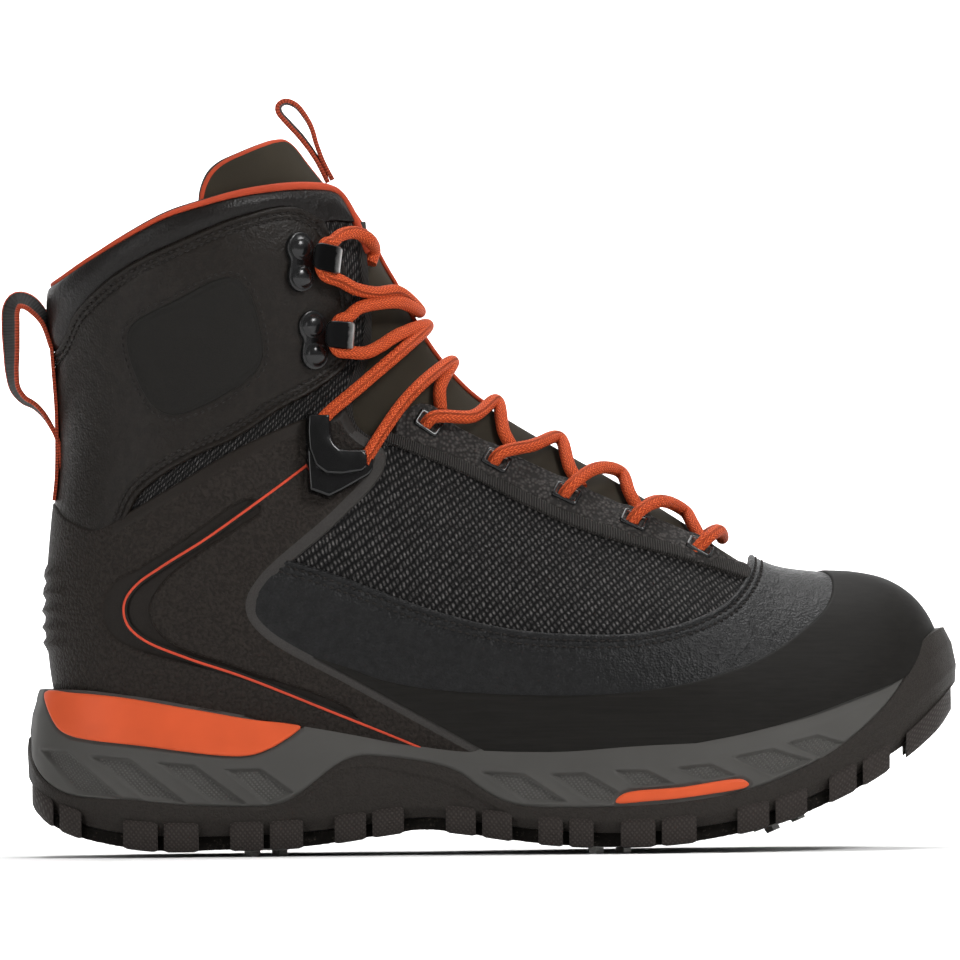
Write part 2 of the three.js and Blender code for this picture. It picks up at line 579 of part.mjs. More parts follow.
const ABOVE_COLLAR = outlineOf([...COLLAR_EDGE, [0.6, 0.864], [0.6, 1.5], [-0.3, 1.5], [-0.3, 0.81]]);
const THROAT = outlineOf([...THROAT_EDGE, [0.79, 0.4], [0.79, 1.5], [0.369, 1.5]]);
const CAGE_OUTLINE = outlineOf(CAGE);
const RAND_OUTLINE = outlineOf([...RAND_EDGE, ...RAND_REST]);
const BAND_OUTLINE = outlineOf([...BAND_EDGE, ...BAND_REST]);
// All that lies under the sole's rim, with a gap over it.
const belowRim = union([
  soleForm({ low: soleLine("floor"), high: soleLine("rim", GAP), offset: GAP }),
  soleForm({ low: () => -FAR, high: soleLine("rim", GAP), offset: GAP, levels: STRAIGHT_SIDE }),
]);

// A piece's place on the boot: its own X along the side view turned by some degrees, its own Z out of the surface.
function seat({ x, rise, turn }, side, distance) {
  const { point, normal } = onForm([x, rise], side, distance);
  const angle = THREE.MathUtils.degToRad(turn);
  const across = new THREE.Vector3(Math.cos(angle), 0, Math.sin(angle));
  across.addScaledVector(normal, -across.dot(normal)).normalize();
  const up = new THREE.Vector3().crossVectors(normal, across);
  return new THREE.Matrix4().makeBasis(across, up, normal).setPosition(point);
}

// Pieces

// Straight tube of round section along a smooth path.
function tube(points, diameter, sides, steps) {
  const path = new THREE.CatmullRomCurve3(points, false, "centripetal");
  const section = new THREE.Shape();
  section.absarc(0, 0, diameter / 2, 0, 2 * Math.PI);
  const round = new THREE.Shape(section.getPoints(sides).slice(0, sides));
  return solidOf(new THREE.ExtrudeGeometry(round, { steps, extrudePath: path, bevelEnabled: false }));
}

// Slots for the lace, cut through a piece on one side of the boot.
function slots(side) {
  return union(
    EYELETS.map((eyelet) => {
      const slot = new THREE.BoxGeometry(EYELET_LENGTH - 2 * EYELET_RIM, EYELET_WIDTH - 2 * EYELET_RIM, 16);
      return solidOf(slot.applyMatrix4(seat(eyelet, side, 0)));
    }),
  );
}

function makeUpper() {
  const bottomHole = soleForm({
    low: () => 0,
    high: soleLine("rim"),
    offset: -(SOLE_WIDTH - BALL_WIDTH) / 2 - LASTING_MARGIN,
    levels: STRAIGHT_SIDE,
  });
  const inside = form(-WALL);
  const footbed = prism(grown(belowFootbed(WALL), -GAP));
  return outside
    .subtract(inside)
    .subtract(prism(grown(ABOVE_COLLAR, BINDING_WIDTH + GAP)))
    .subtract(prism(THROAT))
    .subtract(bottomHole.intersect(footbed));
}

// Side-view outline of all that lies within a distance over the form's underside.
function belowFootbed(height) {
  const rows = SECTIONS.slice(1, 19).reverse();
  const line = rows.map((row) => sidePoint([row.backX, row.backRise]).add(new THREE.Vector2(0, height)));
  const [heel, toe] = [line[0], line[line.length - 1]];
  return [
    new THREE.Vector2(heel.x - FAR, heel.y), ...line, new THREE.Vector2(toe.x + FAR, toe.y),
    new THREE.Vector2(toe.x + FAR, -FAR), new THREE.Vector2(heel.x - FAR, -FAR),
  ];
}

const makeInsole = () => form(-WALL - GAP).intersect(prism(belowFootbed(WALL + GAP + INSOLE_THICKNESS)));

function makeTongue() {
  const outline = outlineOf([...TONGUE_TOP, [0.42, 1.07], [0.9, 0.5], [0.9, 0.15], ...TONGUE_REAR]);
  return overlay(outline, -WALL - GAP - TONGUE_THICKNESS, -WALL - GAP);
}

const makeCage = () => overlay(CAGE_OUTLINE, GAP, GAP + CAGE_THICKNESS).subtract(belowRim);

const makeRand = () =>
  overlay(RAND_OUTLINE, GAP, GAP + RAND_THICKNESS)
    .subtract(belowRim)
    .subtract(prism(grown(CAGE_OUTLINE, GAP)));

function makeBand() {
  return overlay(BAND_OUTLINE, GAP, GAP + PANEL_THICKNESS)
    .subtract(prism(grown(CAGE_OUTLINE, GAP)))
    .subtract(prism(grown(RAND_OUTLINE, GAP)))
    .subtract(belowRim);
}

function makeAnklePanel() {
  const outline = outlineOf([...PANEL_TOP, ...PANEL_FRONT, ...PANEL_LOW, [-0.03, 0.3]]);
  return overlay(outline, GAP, GAP + PANEL_THICKNESS)
    .subtract(prism(grown(CAGE_OUTLINE, GAP)))
    .subtract(prism(THROAT));
}

function makePatch(side) {
  const from = 2 * GAP + PANEL_THICKNESS;
  const whole = overlay(outlineOf(PATCH), from, from + PATCH_THICKNESS);
  return whole.intersect(sideBlock(side));
}

function makeBinding() {
  const edge = prism(grown(ABOVE_COLLAR, BINDING_WIDTH)).subtract(prism(ABOVE_COLLAR));
  const from = -WALL;
  const to = BINDING_PROUD;
  return form(to).subtract(form(from)).intersect(edge).subtract(prism(THROAT));
}

function makeEyestay(side) {
  const top = THROAT_EDGE.slice(6, 15);
  const outline = outlineOf([...EYESTAY_LOW, ...top.reverse()]);
  return overlay(outline, GAP, GAP + EYESTAY_THICKNESS)
    .intersect(sideBlock(side))
    .subtract(prism(grown(BAND_OUTLINE, GAP)))
    .subtract(prism(grown(CAGE_OUTLINE, GAP)))
    .subtract(slots(side));
}

function makeEyelet(eyelet, side) {
  const place = seat(eyelet, side, 2 * GAP + EYESTAY_THICKNESS + EYELET_THICKNESS / 2);
  const plate = new THREE.BoxGeometry(EYELET_LENGTH, EYELET_WIDTH, EYELET_THICKNESS);
  const hole = new THREE.BoxGeometry(EYELET_LENGTH - 2 * EYELET_RIM, EYELET_WIDTH - 2 * EYELET_RIM, 9);
  return solidOf(plate.applyMatrix4(place))
    .subtract(solidOf(hole.applyMatrix4(place)))
    .subtract(clearOfEyestay);
}

// Speed hook: a riveted plate whose throat end is bent up and back over the lace.
function makeHook(hook, side) {
  const place = seat(hook, side, 2 * GAP + PANEL_THICKNESS);
  const [reach, metal] = [HOOK_REACH / 2, HOOK_METAL];
  const height = 2 * metal + LACE_DIAMETER + 4 * GAP;
  const bend = new THREE.Shape();
  bend.moveTo(-reach, 0);
  bend.lineTo(reach - metal, 0);
  bend.lineTo(reach, metal);
  bend.lineTo(reach, height - metal);
  bend.lineTo(reach - metal, height);
  bend.lineTo(-reach, height);
  bend.lineTo(-reach, height - metal);
  bend.lineTo(reach - metal, height - metal);
  bend.lineTo(reach - metal, metal);
  bend.lineTo(-reach, metal);
  const neck = new THREE.ExtrudeGeometry(bend, { depth: NECK_WIDTH, bevelEnabled: false });
  neck.rotateX(Math.PI / 2).translate(0, NECK_WIDTH / 2, 0);
  const head = new THREE.BoxGeometry(HOOK_REACH - metal, HOOK_WIDTH, metal);
  head.translate(-metal / 2, 0, height - metal / 2);
  const plate = new THREE.ExtrudeGeometry(
    new THREE.Shape(HOOK_PLATE.map(([x, y]) => new THREE.Vector2(x, y))),
    { depth: metal, bevelEnabled: false },
  );
  const rivets = RIVETS.map(([x, y]) =>
    new THREE.CylinderGeometry(RIVET_TOP_RADIUS, RIVET_RADIUS, RIVET_HEIGHT, 6)
      .rotateX(Math.PI / 2)
      .translate(x, y, metal + RIVET_HEIGHT / 2 - 0.01),
  );
  const parts = [neck, head, plate, ...rivets];
  return union(parts.map((part) => solidOf(part.applyMatrix4(place)))).subtract(clearOfPanel);
}

// Lace lock: an elbow-shaped housing that the lace runs into at one arm's end and out of at the other's.
function makeLock(side) {
  const place = seat(LOCK, side, 2 * GAP + CAGE_THICKNESS);
  const shape = new THREE.Shape(LOCK_OUTLINE.map(([x, y]) => new THREE.Vector2(x, y)));
  const body = new THREE.ExtrudeGeometry(shape, { depth: LOCK_THICKNESS, bevelEnabled: false });
  const bore = LACE_DIAMETER + 2 * GAP;
  const middle = LOCK_THICKNESS / 2;
  const holes = [
    new THREE.BoxGeometry(bore, BORE_DEPTH, bore).translate(...UPPER_BORE, middle),
    new THREE.BoxGeometry(BORE_DEPTH, bore, bore).translate(...LOWER_BORE, middle),
  ];
  // The housing's foot follows the boot's curve under it.
  const sunk = new THREE.ExtrudeGeometry(shape, { depth: LOCK_FOOT, bevelEnabled: false });
  sunk.translate(0, 0, 0.01 - LOCK_FOOT);
  return union([body, sunk].map((part) => solidOf(part.applyMatrix4(place))))
    .subtract(union(holes.map((hole) => solidOf(hole.applyMatrix4(place)))))
    .subtract(form(2 * GAP + CAGE_THICKNESS));
}

// The lace

const LACE_OVER = 2 * GAP + EYESTAY_THICKNESS + EYELET_THICKNESS + LACE_DIAMETER / 2 + GAP;
const LACE_LOW = LACE_DIAMETER / 2 - WALL + GAP;
const LACE_TUCKED = LACE_LOW + 0.8;
const LACE_RIDGE = LACE_LOW + 1.5;
const LACE_IN_LOCK = 2 * GAP + CAGE_THICKNESS + LOCK_THICKNESS / 2;
const LACE_IN_HOOK = PANEL_THICKNESS + 2 * GAP + HOOK_METAL + LACE_DIAMETER / 2 + 2 * GAP;
const strand = (points, steps) => tube(points, LACE_DIAMETER, LACE_SIDES, steps);

// Crossing strands, the same from each side.
const crossed = (path, steps) => union([-1, 1].map((side) => strand(path(side), steps)));

function vampCrossing(eyelet, { via, ridge, tuck }) {
  const path = (side) => [
    onForm([eyelet.x, eyelet.rise], side, LACE_OVER).point,
    onForm(via, side, LACE_OVER).point,
    onRidge(ridge, LACE_RIDGE),
    onForm(tuck, -side, LACE_TUCKED).point,
  ];
  return crossed(path, 6);
}

function toeBar(eyelet, { via, ridge }) {
  const half = (side) => [
    onForm([eyelet.x, eyelet.rise], side, LACE_OVER).point,
    onForm(via, side, LACE_OVER).point,
  ];
  return strand([...half(-1), onRidge(ridge, LACE_RIDGE), ...half(1).reverse()], 8);
}

function lockCrossing({ out, ridge, tuck }) {
  const path = (side) => [
    seenAt(out[0], side, LACE_IN_LOCK),
    ...out.slice(1).map((place) => seenAt(place, side, LACE_OVER)),
    onRidge(ridge, LACE_RIDGE),
    onForm(tuck, -side, LACE_TUCKED).point,
  ];
  return crossed(path, 9);
}

// The lace over the ankle: from each lock over the shin, round the other side's lower hook,
// over again and round the first side's upper hook, to its tucked end.
function ankleLace(route) {
  const neck = ({ x, rise }, side) =>
    BEHIND_NECK.map(([dx, dz]) => onForm([x + dx, rise + dz], side, LACE_IN_HOOK).point);
  const over = (places, side) => places.map((place) => seenAt(place, side, LACE_OVER));
  const path = (side) => [
    seenAt(route.nearOut[0], side, LACE_IN_LOCK),
    ...over(route.nearOut.slice(1), side),
    onRidge(route.lowerRidge, LACE_RIDGE),
    ...over(route.farIn, -side),
    ...neck(HOOKS[1], -side),
    ...over(route.farOut, -side),
    onRidge(route.upperRidge, LACE_RIDGE),
    ...over(route.nearIn, side),
    ...neck(HOOKS[0], side),
    ...over(route.nearEnd, side),
  ];
  return crossed(path, 32);
}

// The soles

const soleWhole = soleForm({ low: soleLine("floor"), high: soleLine("rim") });
const rubberLine = soleOutline(RUBBER_EDGE);
const RUBBER = [
  ...rubberLine,
  new THREE.Vector2(SOLE_LENGTH + FAR, rubberLine.at(-1).y),
  new THREE.Vector2(SOLE_LENGTH + FAR, -FAR),
  new THREE.Vector2(-FAR, -FAR),
  new THREE.Vector2(-FAR, rubberLine[0].y),
];

// Blocks across the sole where it has lugs, longer by a clearance at each end.
function lugBlocks(clearance) {
  const block = (from, to) => box(to - from + 2 * clearance, 2 * FAR, FAR, (from + to) / 2, 0, 0);
  const toe = block(along(TOE_LUG.from), along(TOE_LUG.to) + FAR);
  return union([...LUGS.map(({ from, to }) => block(along(from), along(to))), toe]);
}

// Slots that part each lug in two, and the toe's lug along its middle.
function lugSlots() {
  const slot = ({ from, to }) => box(LUG_SLOT, 2 * FAR, FAR, along((from + to) / 2), 0, 0);
  const toe = box(FAR, TOE_SLOT, FAR, SOLE_LENGTH, SOLE_WIDTH * SOLE.at(-1).inner, 0);
  return union([...LUGS.map(slot), toe]);
}

function lugRing(clearance) {
  const outer = soleForm({
    low: soleLine("foot"),
    high: soleLine("floor", LUG_RISE),
    offset: LUG_PROUD,
    levels: [{ level: 0, inset: 0.9 }, { level: 1, inset: 0 }],
  });
  const inner = soleForm({
    low: () => -FAR,
    high: () => FAR,
    offset: -LUG_DEPTH - clearance,
    levels: STRAIGHT_SIDE,
  });
  return outer.subtract(inner);
}

function makeOutsole() {
  const body = soleWhole.intersect(prism(grown(RUBBER, -GAP / 2)));
  const lugs = lugRing(0).intersect(lugBlocks(0)).subtract(lugSlots());
  const randFoot = onSole(SOLE.at(-2).rim) - BUMPER_LAP;
  const overBumper = box(FAR, 2 * FAR, 2 * FAR, SOLE_LENGTH, 0, randFoot + FAR);
  const randRoom = form(2 * GAP + RAND_THICKNESS).intersect(overBumper);
  return body.add(lugs).subtract(clearOfUpper).subtract(randRoom);
}

function makeMidsole() {
  return soleWhole
    .subtract(prism(grown(RUBBER, GAP / 2)))
    .subtract(clearOfUpper)
    .subtract(insertPocket(HEEL_PANEL))
    .subtract(insertPocket(FORE_STRIP));
}

function insertPocket(outline) {
  const core = soleForm({ low: soleLine("floor"), high: soleLine("rim"), offset: -INSERT_DEPTH });
  return prism(grown(soleOutline(outline), GAP)).subtract(core);
}

function makeInsert(outline, side) {
  const skin = soleForm({ low: soleLine("floor"), high: soleLine("rim"), offset: INSERT_PROUD });
  const core = soleForm({ low: soleLine("floor"), high: soleLine("rim"), offset: GAP - INSERT_DEPTH });
  return prism(soleOutline(outline))
    .intersect(skin)
    .subtract(core)
    .intersect(sideBlock(side))
    .subtract(prism(grown(RUBBER, GAP / 2)));
}

function makeFelt() {
  const sheet = soleForm({
    low: soleLine("foot", FELT_RECESS),
    high: soleLine("floor", -GAP),
    offset: -FELT_INSET,
    levels: STRAIGHT_SIDE,
  });
  const lugs = lugRing(GAP).intersect(lugBlocks(GAP));
  const above = soleForm({ low: soleLine("floor", -GAP), high: soleLine("rim") });
  const { from, to } = FELT_SPAN;
  const span = box(along(to - from), REACH, REACH, along((from + to) / 2), 0, 0);
  return sheet
    .subtract(above)
    .subtract(lugs)
    .subtract(union(CLEATS.map(cleatPocket)))
    .intersect(span);
}

// Cleats: a round plate let into the felt, with three studs. The heel's and the ball's stand on the floor.
const TOE_SPRING = 0.7; // share of the length where the sole starts to rise
function cleatPlace({ x, y }) {
  const flat = x < TOE_SPRING;
  const t = SOLE.findIndex((row) => row.x > x) - 1;
  const level = onSole(between(SOLE.map((row) => row.x), SOLE.map((row) => row.foot), x));
  const slope = (onSole(SOLE[t + 1].foot) - onSole(SOLE[t].foot)) / along(SOLE[t + 1].x - SOLE[t].x);
  const tilt = flat ? 0 : -Math.atan(slope);
  const height = flat ? 0 : level - STUD_PROUD;
  return new THREE.Matrix4().makeRotationY(tilt).setPosition(along(x), y * SOLE_WIDTH, height);
}

function cleatPocket(cleat) {
  const place = cleatPlace(cleat);
  const radius = CLEAT_RADIUS + 2 * GAP;
  const pocket = new THREE.CylinderGeometry(radius, radius, 2 * FAR, 8).rotateX(Math.PI / 2);
  return solidOf(pocket.applyMatrix4(place));
}

function makeCleat(cleat) {
  const place = cleatPlace(cleat);
  const top = STUD_PROUD + CLEAT_THICKNESS;
  const plate = new THREE.CylinderGeometry(CLEAT_RADIUS, CLEAT_RADIUS, CLEAT_THICKNESS, 8);
  const parts = [plate.rotateX(Math.PI / 2).translate(0, 0, top - CLEAT_THICKNESS / 2)];
  for (let i = 0; i < 3; i++) {
    const angle = (2 * Math.PI * i) / 3;
    const reach = CLEAT_RADIUS - STUD_RADIUS - 0.6;
    parts.push(
      new THREE.CylinderGeometry(STUD_RADIUS, STUD_RADIUS, STUD_PROUD + 0.01, 5)
        .rotateX(Math.PI / 2)
        .translate(reach * Math.cos(angle), reach * Math.sin(angle), STUD_PROUD / 2),
    );
  }
  return union(parts.map((part) => solidOf(part.applyMatrix4(place))));
}

// Loops of webbing: a strip of even thickness that follows a side-view path.
function strip(path, thickness, width) {
  const left = [];
  const right = [];
  path.forEach((p, i) => {
    const along = path[Math.min(i + 1, path.length - 1)].clone().sub(path[Math.max(i - 1, 0)]).normalize();
    const out = new THREE.Vector2(-along.y, along.x).multiplyScalar(thickness / 2);
    left.push(p.clone().add(out));
    right.push(p.clone().sub(out));
  });
  return prism([...left, ...right.reverse()], -width / 2, width / 2);
}

function makeHeelLoop() {
  const off = PANEL_THICKNESS + 2 * GAP + WEBBING / 2;
  const rows = SECTIONS.slice(HEEL_ROW);
  const inner = HEEL_LOOP_INNER.map((rise) => {
    const x = between(rows.map((row) => row.backRise), rows.map((row) => row.backX), rise);
    return sidePoint([x, rise]).add(new THREE.Vector2(-off, 0));
  });
  const outer = HEEL_LOOP_OUTER.map(sidePoint);
  outer[0] = inner.at(-1).clone();
  const strips = [inner, outer].map((path) => strip(path, WEBBING, HEEL_LOOP_WIDTH));
  return union(strips).subtract(clearOfPanel);
}

const makeTongueLoop = () => strip(outlineOf(TONGUE_LOOP), WEBBING, TONGUE_LOOP_WIDTH).subtract(form(-WALL));

// Materials

const material = (name, color, roughness, metalness = 0) => {
  const made = new THREE.MeshStandardMaterial({ color, roughness, metalness });
  made.name = name;
  return made;
};
const MATERIALS = {
  cloth: material("cloth", 0x1b1b1a, 0.9),
  leather: material("leather", 0x222222, 0.5),
  cage: material("cage", 0x2a2926, 0.75),
  rand: material("rand", 0x201f1e, 0.7),
  rubber: material("rubber", 0x262524, 0.75),
  foam: material("foam", 0x5b5b59, 0.7),
  orange: material("orange", 0xd6572c, 0.6),
  binding: material("binding", 0xb24a2b, 0.8),
  eyestay: material("eyestay", 0x323234, 0.8),
  tongue: material("tongue", 0x25261f, 0.8),
  felt: material("felt", 0x171614, 0.95),
  metal: material("metal", 0x0c0c0d, 0.25, 0.6),
  steel: material("steel", 0x9a9a98, 0.35, 0.9),
  plastic: material("plastic", 0x0d0d0e, 0.25),
  lace: material("lace", 0xc94c1c, 0.75),
};

const boot = new THREE.Group();
boot.name = "wading_boot";
function add(name, solid, finish) {
  const mesh = new THREE.Mesh(geometryOf(solid), MATERIALS[finish]);
  mesh.name = name;
  boot.add(mesh);
}

const SIDES = { outer: -1, inner: 1 };
add("upper", makeUpper(), "cloth");
add("insole", makeInsole(), "cloth");
add("tongue", makeTongue(), "tongue");
add("heel_cage", makeCage(), "cage");
add("toe_rand", makeRand(), "rand");
add("vamp_band", makeBand(), "leather");
add("ankle_panel", makeAnklePanel(), "leather");
add("collar_binding", makeBinding(), "binding");
add("midsole", makeMidsole(), "foam");
add("outsole", makeOutsole(), "rubber");
add("felt_sole", makeFelt(), "felt");
for (const cleat of CLEATS) add(cleat.name, makeCleat(cleat), "steel");
for (const [side, sign] of Object.entries(SIDES)) {
  add(`heel_panel_${side}`, makeInsert(HEEL_PANEL, sign), "orange");
  add(`fore_strip_${side}`, makeInsert(FORE_STRIP, sign), "orange");
  add(`ankle_patch_${side}`, makePatch(sign), "rand");
  add(`eyestay_${side}`, makeEyestay(sign), "eyestay");
  add(`lace_lock_${side}`, makeLock(sign), "plastic");
  EYELETS.forEach((eyelet, i) => add(`eyelet_${side}_${i + 1}`, makeEyelet(eyelet, sign), "metal"));
  HOOKS.forEach((hook, i) => add(`hook_${side}_${i + 1}`, makeHook(hook, sign), "metal"));
}
add("heel_loop", makeHeelLoop(), "binding");
add("tongue_loop", makeTongueLoop(), "binding");
add("lace_ankle", ankleLace(ANKLE_LACE), "lace");
add("lace_lock_crossing", lockCrossing(LOCK_CROSSING), "lace");
VAMP_CROSSINGS.forEach((crossing, i) => add(`lace_crossing_${i + 1}`, vampCrossing(EYELETS[i], crossing), "lace"));
add("lace_toe_bar", toeBar(EYELETS.at(-1), TOE_BAR), "lace");

const bounds = new THREE.Box3().setFromObject(boot);
const middle = bounds.getCenter(new THREE.Vector3());
boot.position.set(-middle.x, -middle.y, -bounds.min.z);

export default boot;
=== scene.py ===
"""Looks of a lace-up wading boot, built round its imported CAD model.

Everything is worked out in millimetres with the CAD's own forms, then moved into the frame in metres.
The boot's form is a chain of sections: a point on it is (t, turn), where t counts the sections from the toe's
tip and turn is the angle round one, 0 at the back, 180 degrees at the front. The sole's wall is (s, level).
"""

import math

import bmesh
import bpy
import numpy as np
from mathutils import Matrix, Vector


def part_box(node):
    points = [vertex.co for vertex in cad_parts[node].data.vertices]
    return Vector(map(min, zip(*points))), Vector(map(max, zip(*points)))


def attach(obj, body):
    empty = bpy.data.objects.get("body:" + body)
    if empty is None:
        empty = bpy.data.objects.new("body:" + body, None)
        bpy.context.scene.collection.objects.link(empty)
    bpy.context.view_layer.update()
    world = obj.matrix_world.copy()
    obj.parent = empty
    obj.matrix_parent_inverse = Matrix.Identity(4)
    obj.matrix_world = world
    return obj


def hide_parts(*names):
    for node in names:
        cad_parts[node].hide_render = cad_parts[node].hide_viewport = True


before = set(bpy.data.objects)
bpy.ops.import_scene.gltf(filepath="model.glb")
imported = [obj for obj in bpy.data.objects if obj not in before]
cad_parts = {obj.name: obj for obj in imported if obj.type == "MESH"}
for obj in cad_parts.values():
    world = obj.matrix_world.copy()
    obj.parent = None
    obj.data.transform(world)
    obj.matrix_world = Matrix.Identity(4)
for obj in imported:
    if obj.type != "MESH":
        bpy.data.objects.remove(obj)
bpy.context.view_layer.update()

# Driving sizes of the boot, as in its CAD source
SOLE_LENGTH = 320
SOLE_WIDTH = 121
SOLE_HEIGHT = 58
UPPER_HEIGHT = 173
WELT = 6.5
BALL_WIDTH = SOLE_WIDTH - 2 * WELT
COLLAR_WIDTH = 94
TOE_SWING = 10
WALL = 3
GAP = 0.3
CAGE_THICKNESS = 2.1
RAND_THICKNESS = 1.7
PANEL_THICKNESS = 1.1
EYESTAY_THICKNESS = 1.6
EYELET_THICKNESS = 1
EYELET_LENGTH = 9.5
EYELET_WIDTH = 7
EYELET_FRAME = 1.3
LACE = 4.5
LUG_DEPTH = 13
LUG_PROUD = 1.3
LUG_RISE = 4.5
LUG_SLOT = 2.2
TOE_SLOT = 6
FELT_RECESS = 0.5
HEEL_LOOP_WIDTH = 16
TONGUE_LOOP_WIDTH = 11
WEBBING = 1.5

# Where the CAD's own origin lies in the frame, from the outer heel cleat, whose place in the CAD is known.
HEEL_CLEAT = (0.25 * SOLE_LENGTH, -0.15 * SOLE_WIDTH)
CLEAT_LOW, CLEAT_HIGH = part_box("cleat_heel_outer")
ORIGIN = np.array(Vector((
    (CLEAT_LOW.x + CLEAT_HIGH.x) / 2 - HEEL_CLEAT[0] / 1000,
    (CLEAT_LOW.y + CLEAT_HIGH.y) / 2 - HEEL_CLEAT[1] / 1000,
    CLEAT_LOW.z,
)))
SIDES = {"outer": -1, "inner": 1}


def table(columns, rows):
    """A table's columns by name, as arrays."""
    return {name: np.array([row[i] for row in rows], float) for i, name in enumerate(columns)}


# The boot's form. front, back: share of the sole's length and of the upper's height.
SECTIONS = table(
    (
        "front_x", "front_rise", "back_x", "back_rise", "ball", "collar",
        "swing", "widest", "heel_power", "instep_power",
    ),
    [
        (0.979, 0.02, 0.979, 0.02, 0, 0, 1, 0.4, 2, 2),
        (0.976, 0.075, 0.97, -0.037, 0.15, 0, 1, 0.38, 2.4, 2.2),
        (0.966, 0.122, 0.958, -0.08, 0.235, 0, 0.97, 0.35, 3, 2.3),
        (0.948, 0.163, 0.938, -0.112, 0.31, 0, 0.9, 0.32, 3.5, 2.3),
        (0.922, 0.192, 0.914, -0.139, 0.372, 0, 0.8, 0.3, 4, 2.3),
        (0.888, 0.206, 0.882, -0.162, 0.421, 0, 0.66, 0.3, 4, 2.2),
        (0.846, 0.211, 0.842, -0.181, 0.458, 0, 0.48, 0.3, 4, 2.1),
        (0.799, 0.227, 0.795, -0.192, 0.481, 0, 0.28, 0.3, 4, 2),
        (0.752, 0.277, 0.751, -0.195, 0.496, 0, 0.08, 0.3, 4, 1.85),
        (0.714, 0.328, 0.712, -0.194, 0.5, 0, -0.06, 0.3, 4, 1.75),
        (0.67, 0.38, 0.665, -0.191, 0.495, 0, -0.17, 0.3, 4, 1.65),
        (0.623, 0.432, 0.608, -0.186, 0.482, 0, -0.24, 0.3, 4, 1.6),
        (0.575, 0.483, 0.543, -0.177, 0.46, 0, -0.25, 0.3, 3.8, 1.6),
        (0.53, 0.533, 0.47, -0.162, 0.435, 0, -0.2, 0.31, 3.6, 1.6),
        (0.492, 0.578, 0.393, -0.145, 0.415, 0, -0.12, 0.33, 3.4, 1.65),
        (0.466, 0.624, 0.308, -0.129, 0.4, 0, -0.05, 0.36, 3.2, 1.7),
        (0.447, 0.669, 0.217, -0.117, 0.394, 0, 0, 0.39, 3, 1.75),
        (0.434, 0.706, 0.137, -0.108, 0.32, 0.084, 0, 0.42, 2.8, 1.8),
        (0.425, 0.736, 0.075, -0.087, 0.24, 0.172, 0, 0.45, 2.6, 1.8),
        (0.417, 0.765, 0.041, -0.03, 0.16, 0.264, 0, 0.48, 2.4, 1.8),
        (0.41, 0.792, 0.03, 0.07, 0.08, 0.355, 0, 0.5, 2.3, 1.8),
        (0.402, 0.818, 0.028, 0.189, 0, 0.448, 0, 0.51, 2.2, 1.85),
        (0.394, 0.844, 0.034, 0.327, 0, 0.456, 0, 0.52, 2.1, 1.9),
        (0.387, 0.87, 0.041, 0.445, 0, 0.465, 0, 0.52, 2.1, 1.9),
        (0.378, 0.898, 0.04, 0.564, 0, 0.475, 0, 0.52, 2.1, 1.9),
        (0.369, 0.927, 0.036, 0.673, 0, 0.487, 0, 0.51, 2.1, 1.95),
        (0.356, 0.963, 0.031, 0.772, 0, 0.496, 0, 0.5, 2.1, 2),
        (0.342, 1.001, 0.029, 0.84, 0, 0.5, 0, 0.5, 2.1, 2),
        (0.327, 1.043, 0.028, 0.906, 0, 0.5, 0, 0.5, 2.1, 2),
        (0.312, 1.087, 0.028, 0.977, 0, 0.5, 0, 0.5, 2.1, 2),
        (0.297, 1.131, 0.028, 1.048, 0, 0.5, 0, 0.5, 2.1, 2),
    ],
)
LAST_SECTION = len(SECTIONS["ball"]) - 1

# The sole. outer, inner: half widths as shares of its width. rim, floor, foot: shares of its height.
SOLE = table(
    ("x", "outer", "inner", "rim", "floor", "foot"),
    [
        (0, 0, 0, 1, 0.4, 0.36),
        (0.009, 0.13, 0.13, 1, 0.34, 0.27),
        (0.03, 0.225, 0.225, 1, 0.265, 0.175),
        (0.073, 0.305, 0.3, 0.985, 0.18, 0.09),
        (0.137, 0.35, 0.342, 0.937, 0.135, 0.035),
        (0.212, 0.363, 0.35, 0.86, 0.13, 0.035),
        (0.297, 0.37, 0.345, 0.78, 0.145, 0.05),
        (0.383, 0.385, 0.34, 0.735, 0.2, 0.115),
        (0.425, 0.4, 0.345, 0.7, 0.225, 0.143),
        (0.468, 0.42, 0.36, 0.665, 0.208, 0.12),
        (0.554, 0.468, 0.405, 0.625, 0.15, 0.055),
        (0.639, 0.498, 0.46, 0.64, 0.13, 0.035),
        (0.725, 0.488, 0.495, 0.7, 0.163, 0.068),
        (0.81, 0.437, 0.492, 0.8, 0.262, 0.173),
        (0.885, 0.352, 0.455, 0.94, 0.44, 0.345),
        (0.938, 0.257, 0.395, 1.06, 0.605, 0.52),
        (0.976, 0.135, 0.305, 1.24, 0.79, 0.69),
        (0.994, 0.01, 0.2, 1.3, 0.9, 0.82),
        (1, -0.095, 0.095, 1.31, 0.94, 0.88),
    ],
)
SOLE_SIDE = table(("level", "inset"), [(0, 2.6), (0.12, 0.4), (0.4, 0), (0.75, 1.5), (1, 4.2)])
LUGS = [
    (0.004, 0.058), (0.103, 0.184), (0.218, 0.296), (0.33, 0.404), (0.449, 0.52), (0.548, 0.607),
    (0.636, 0.717), (0.761, 0.836), (0.86, 0.926),
]
TOE_LUG = (0.944, 0.985)

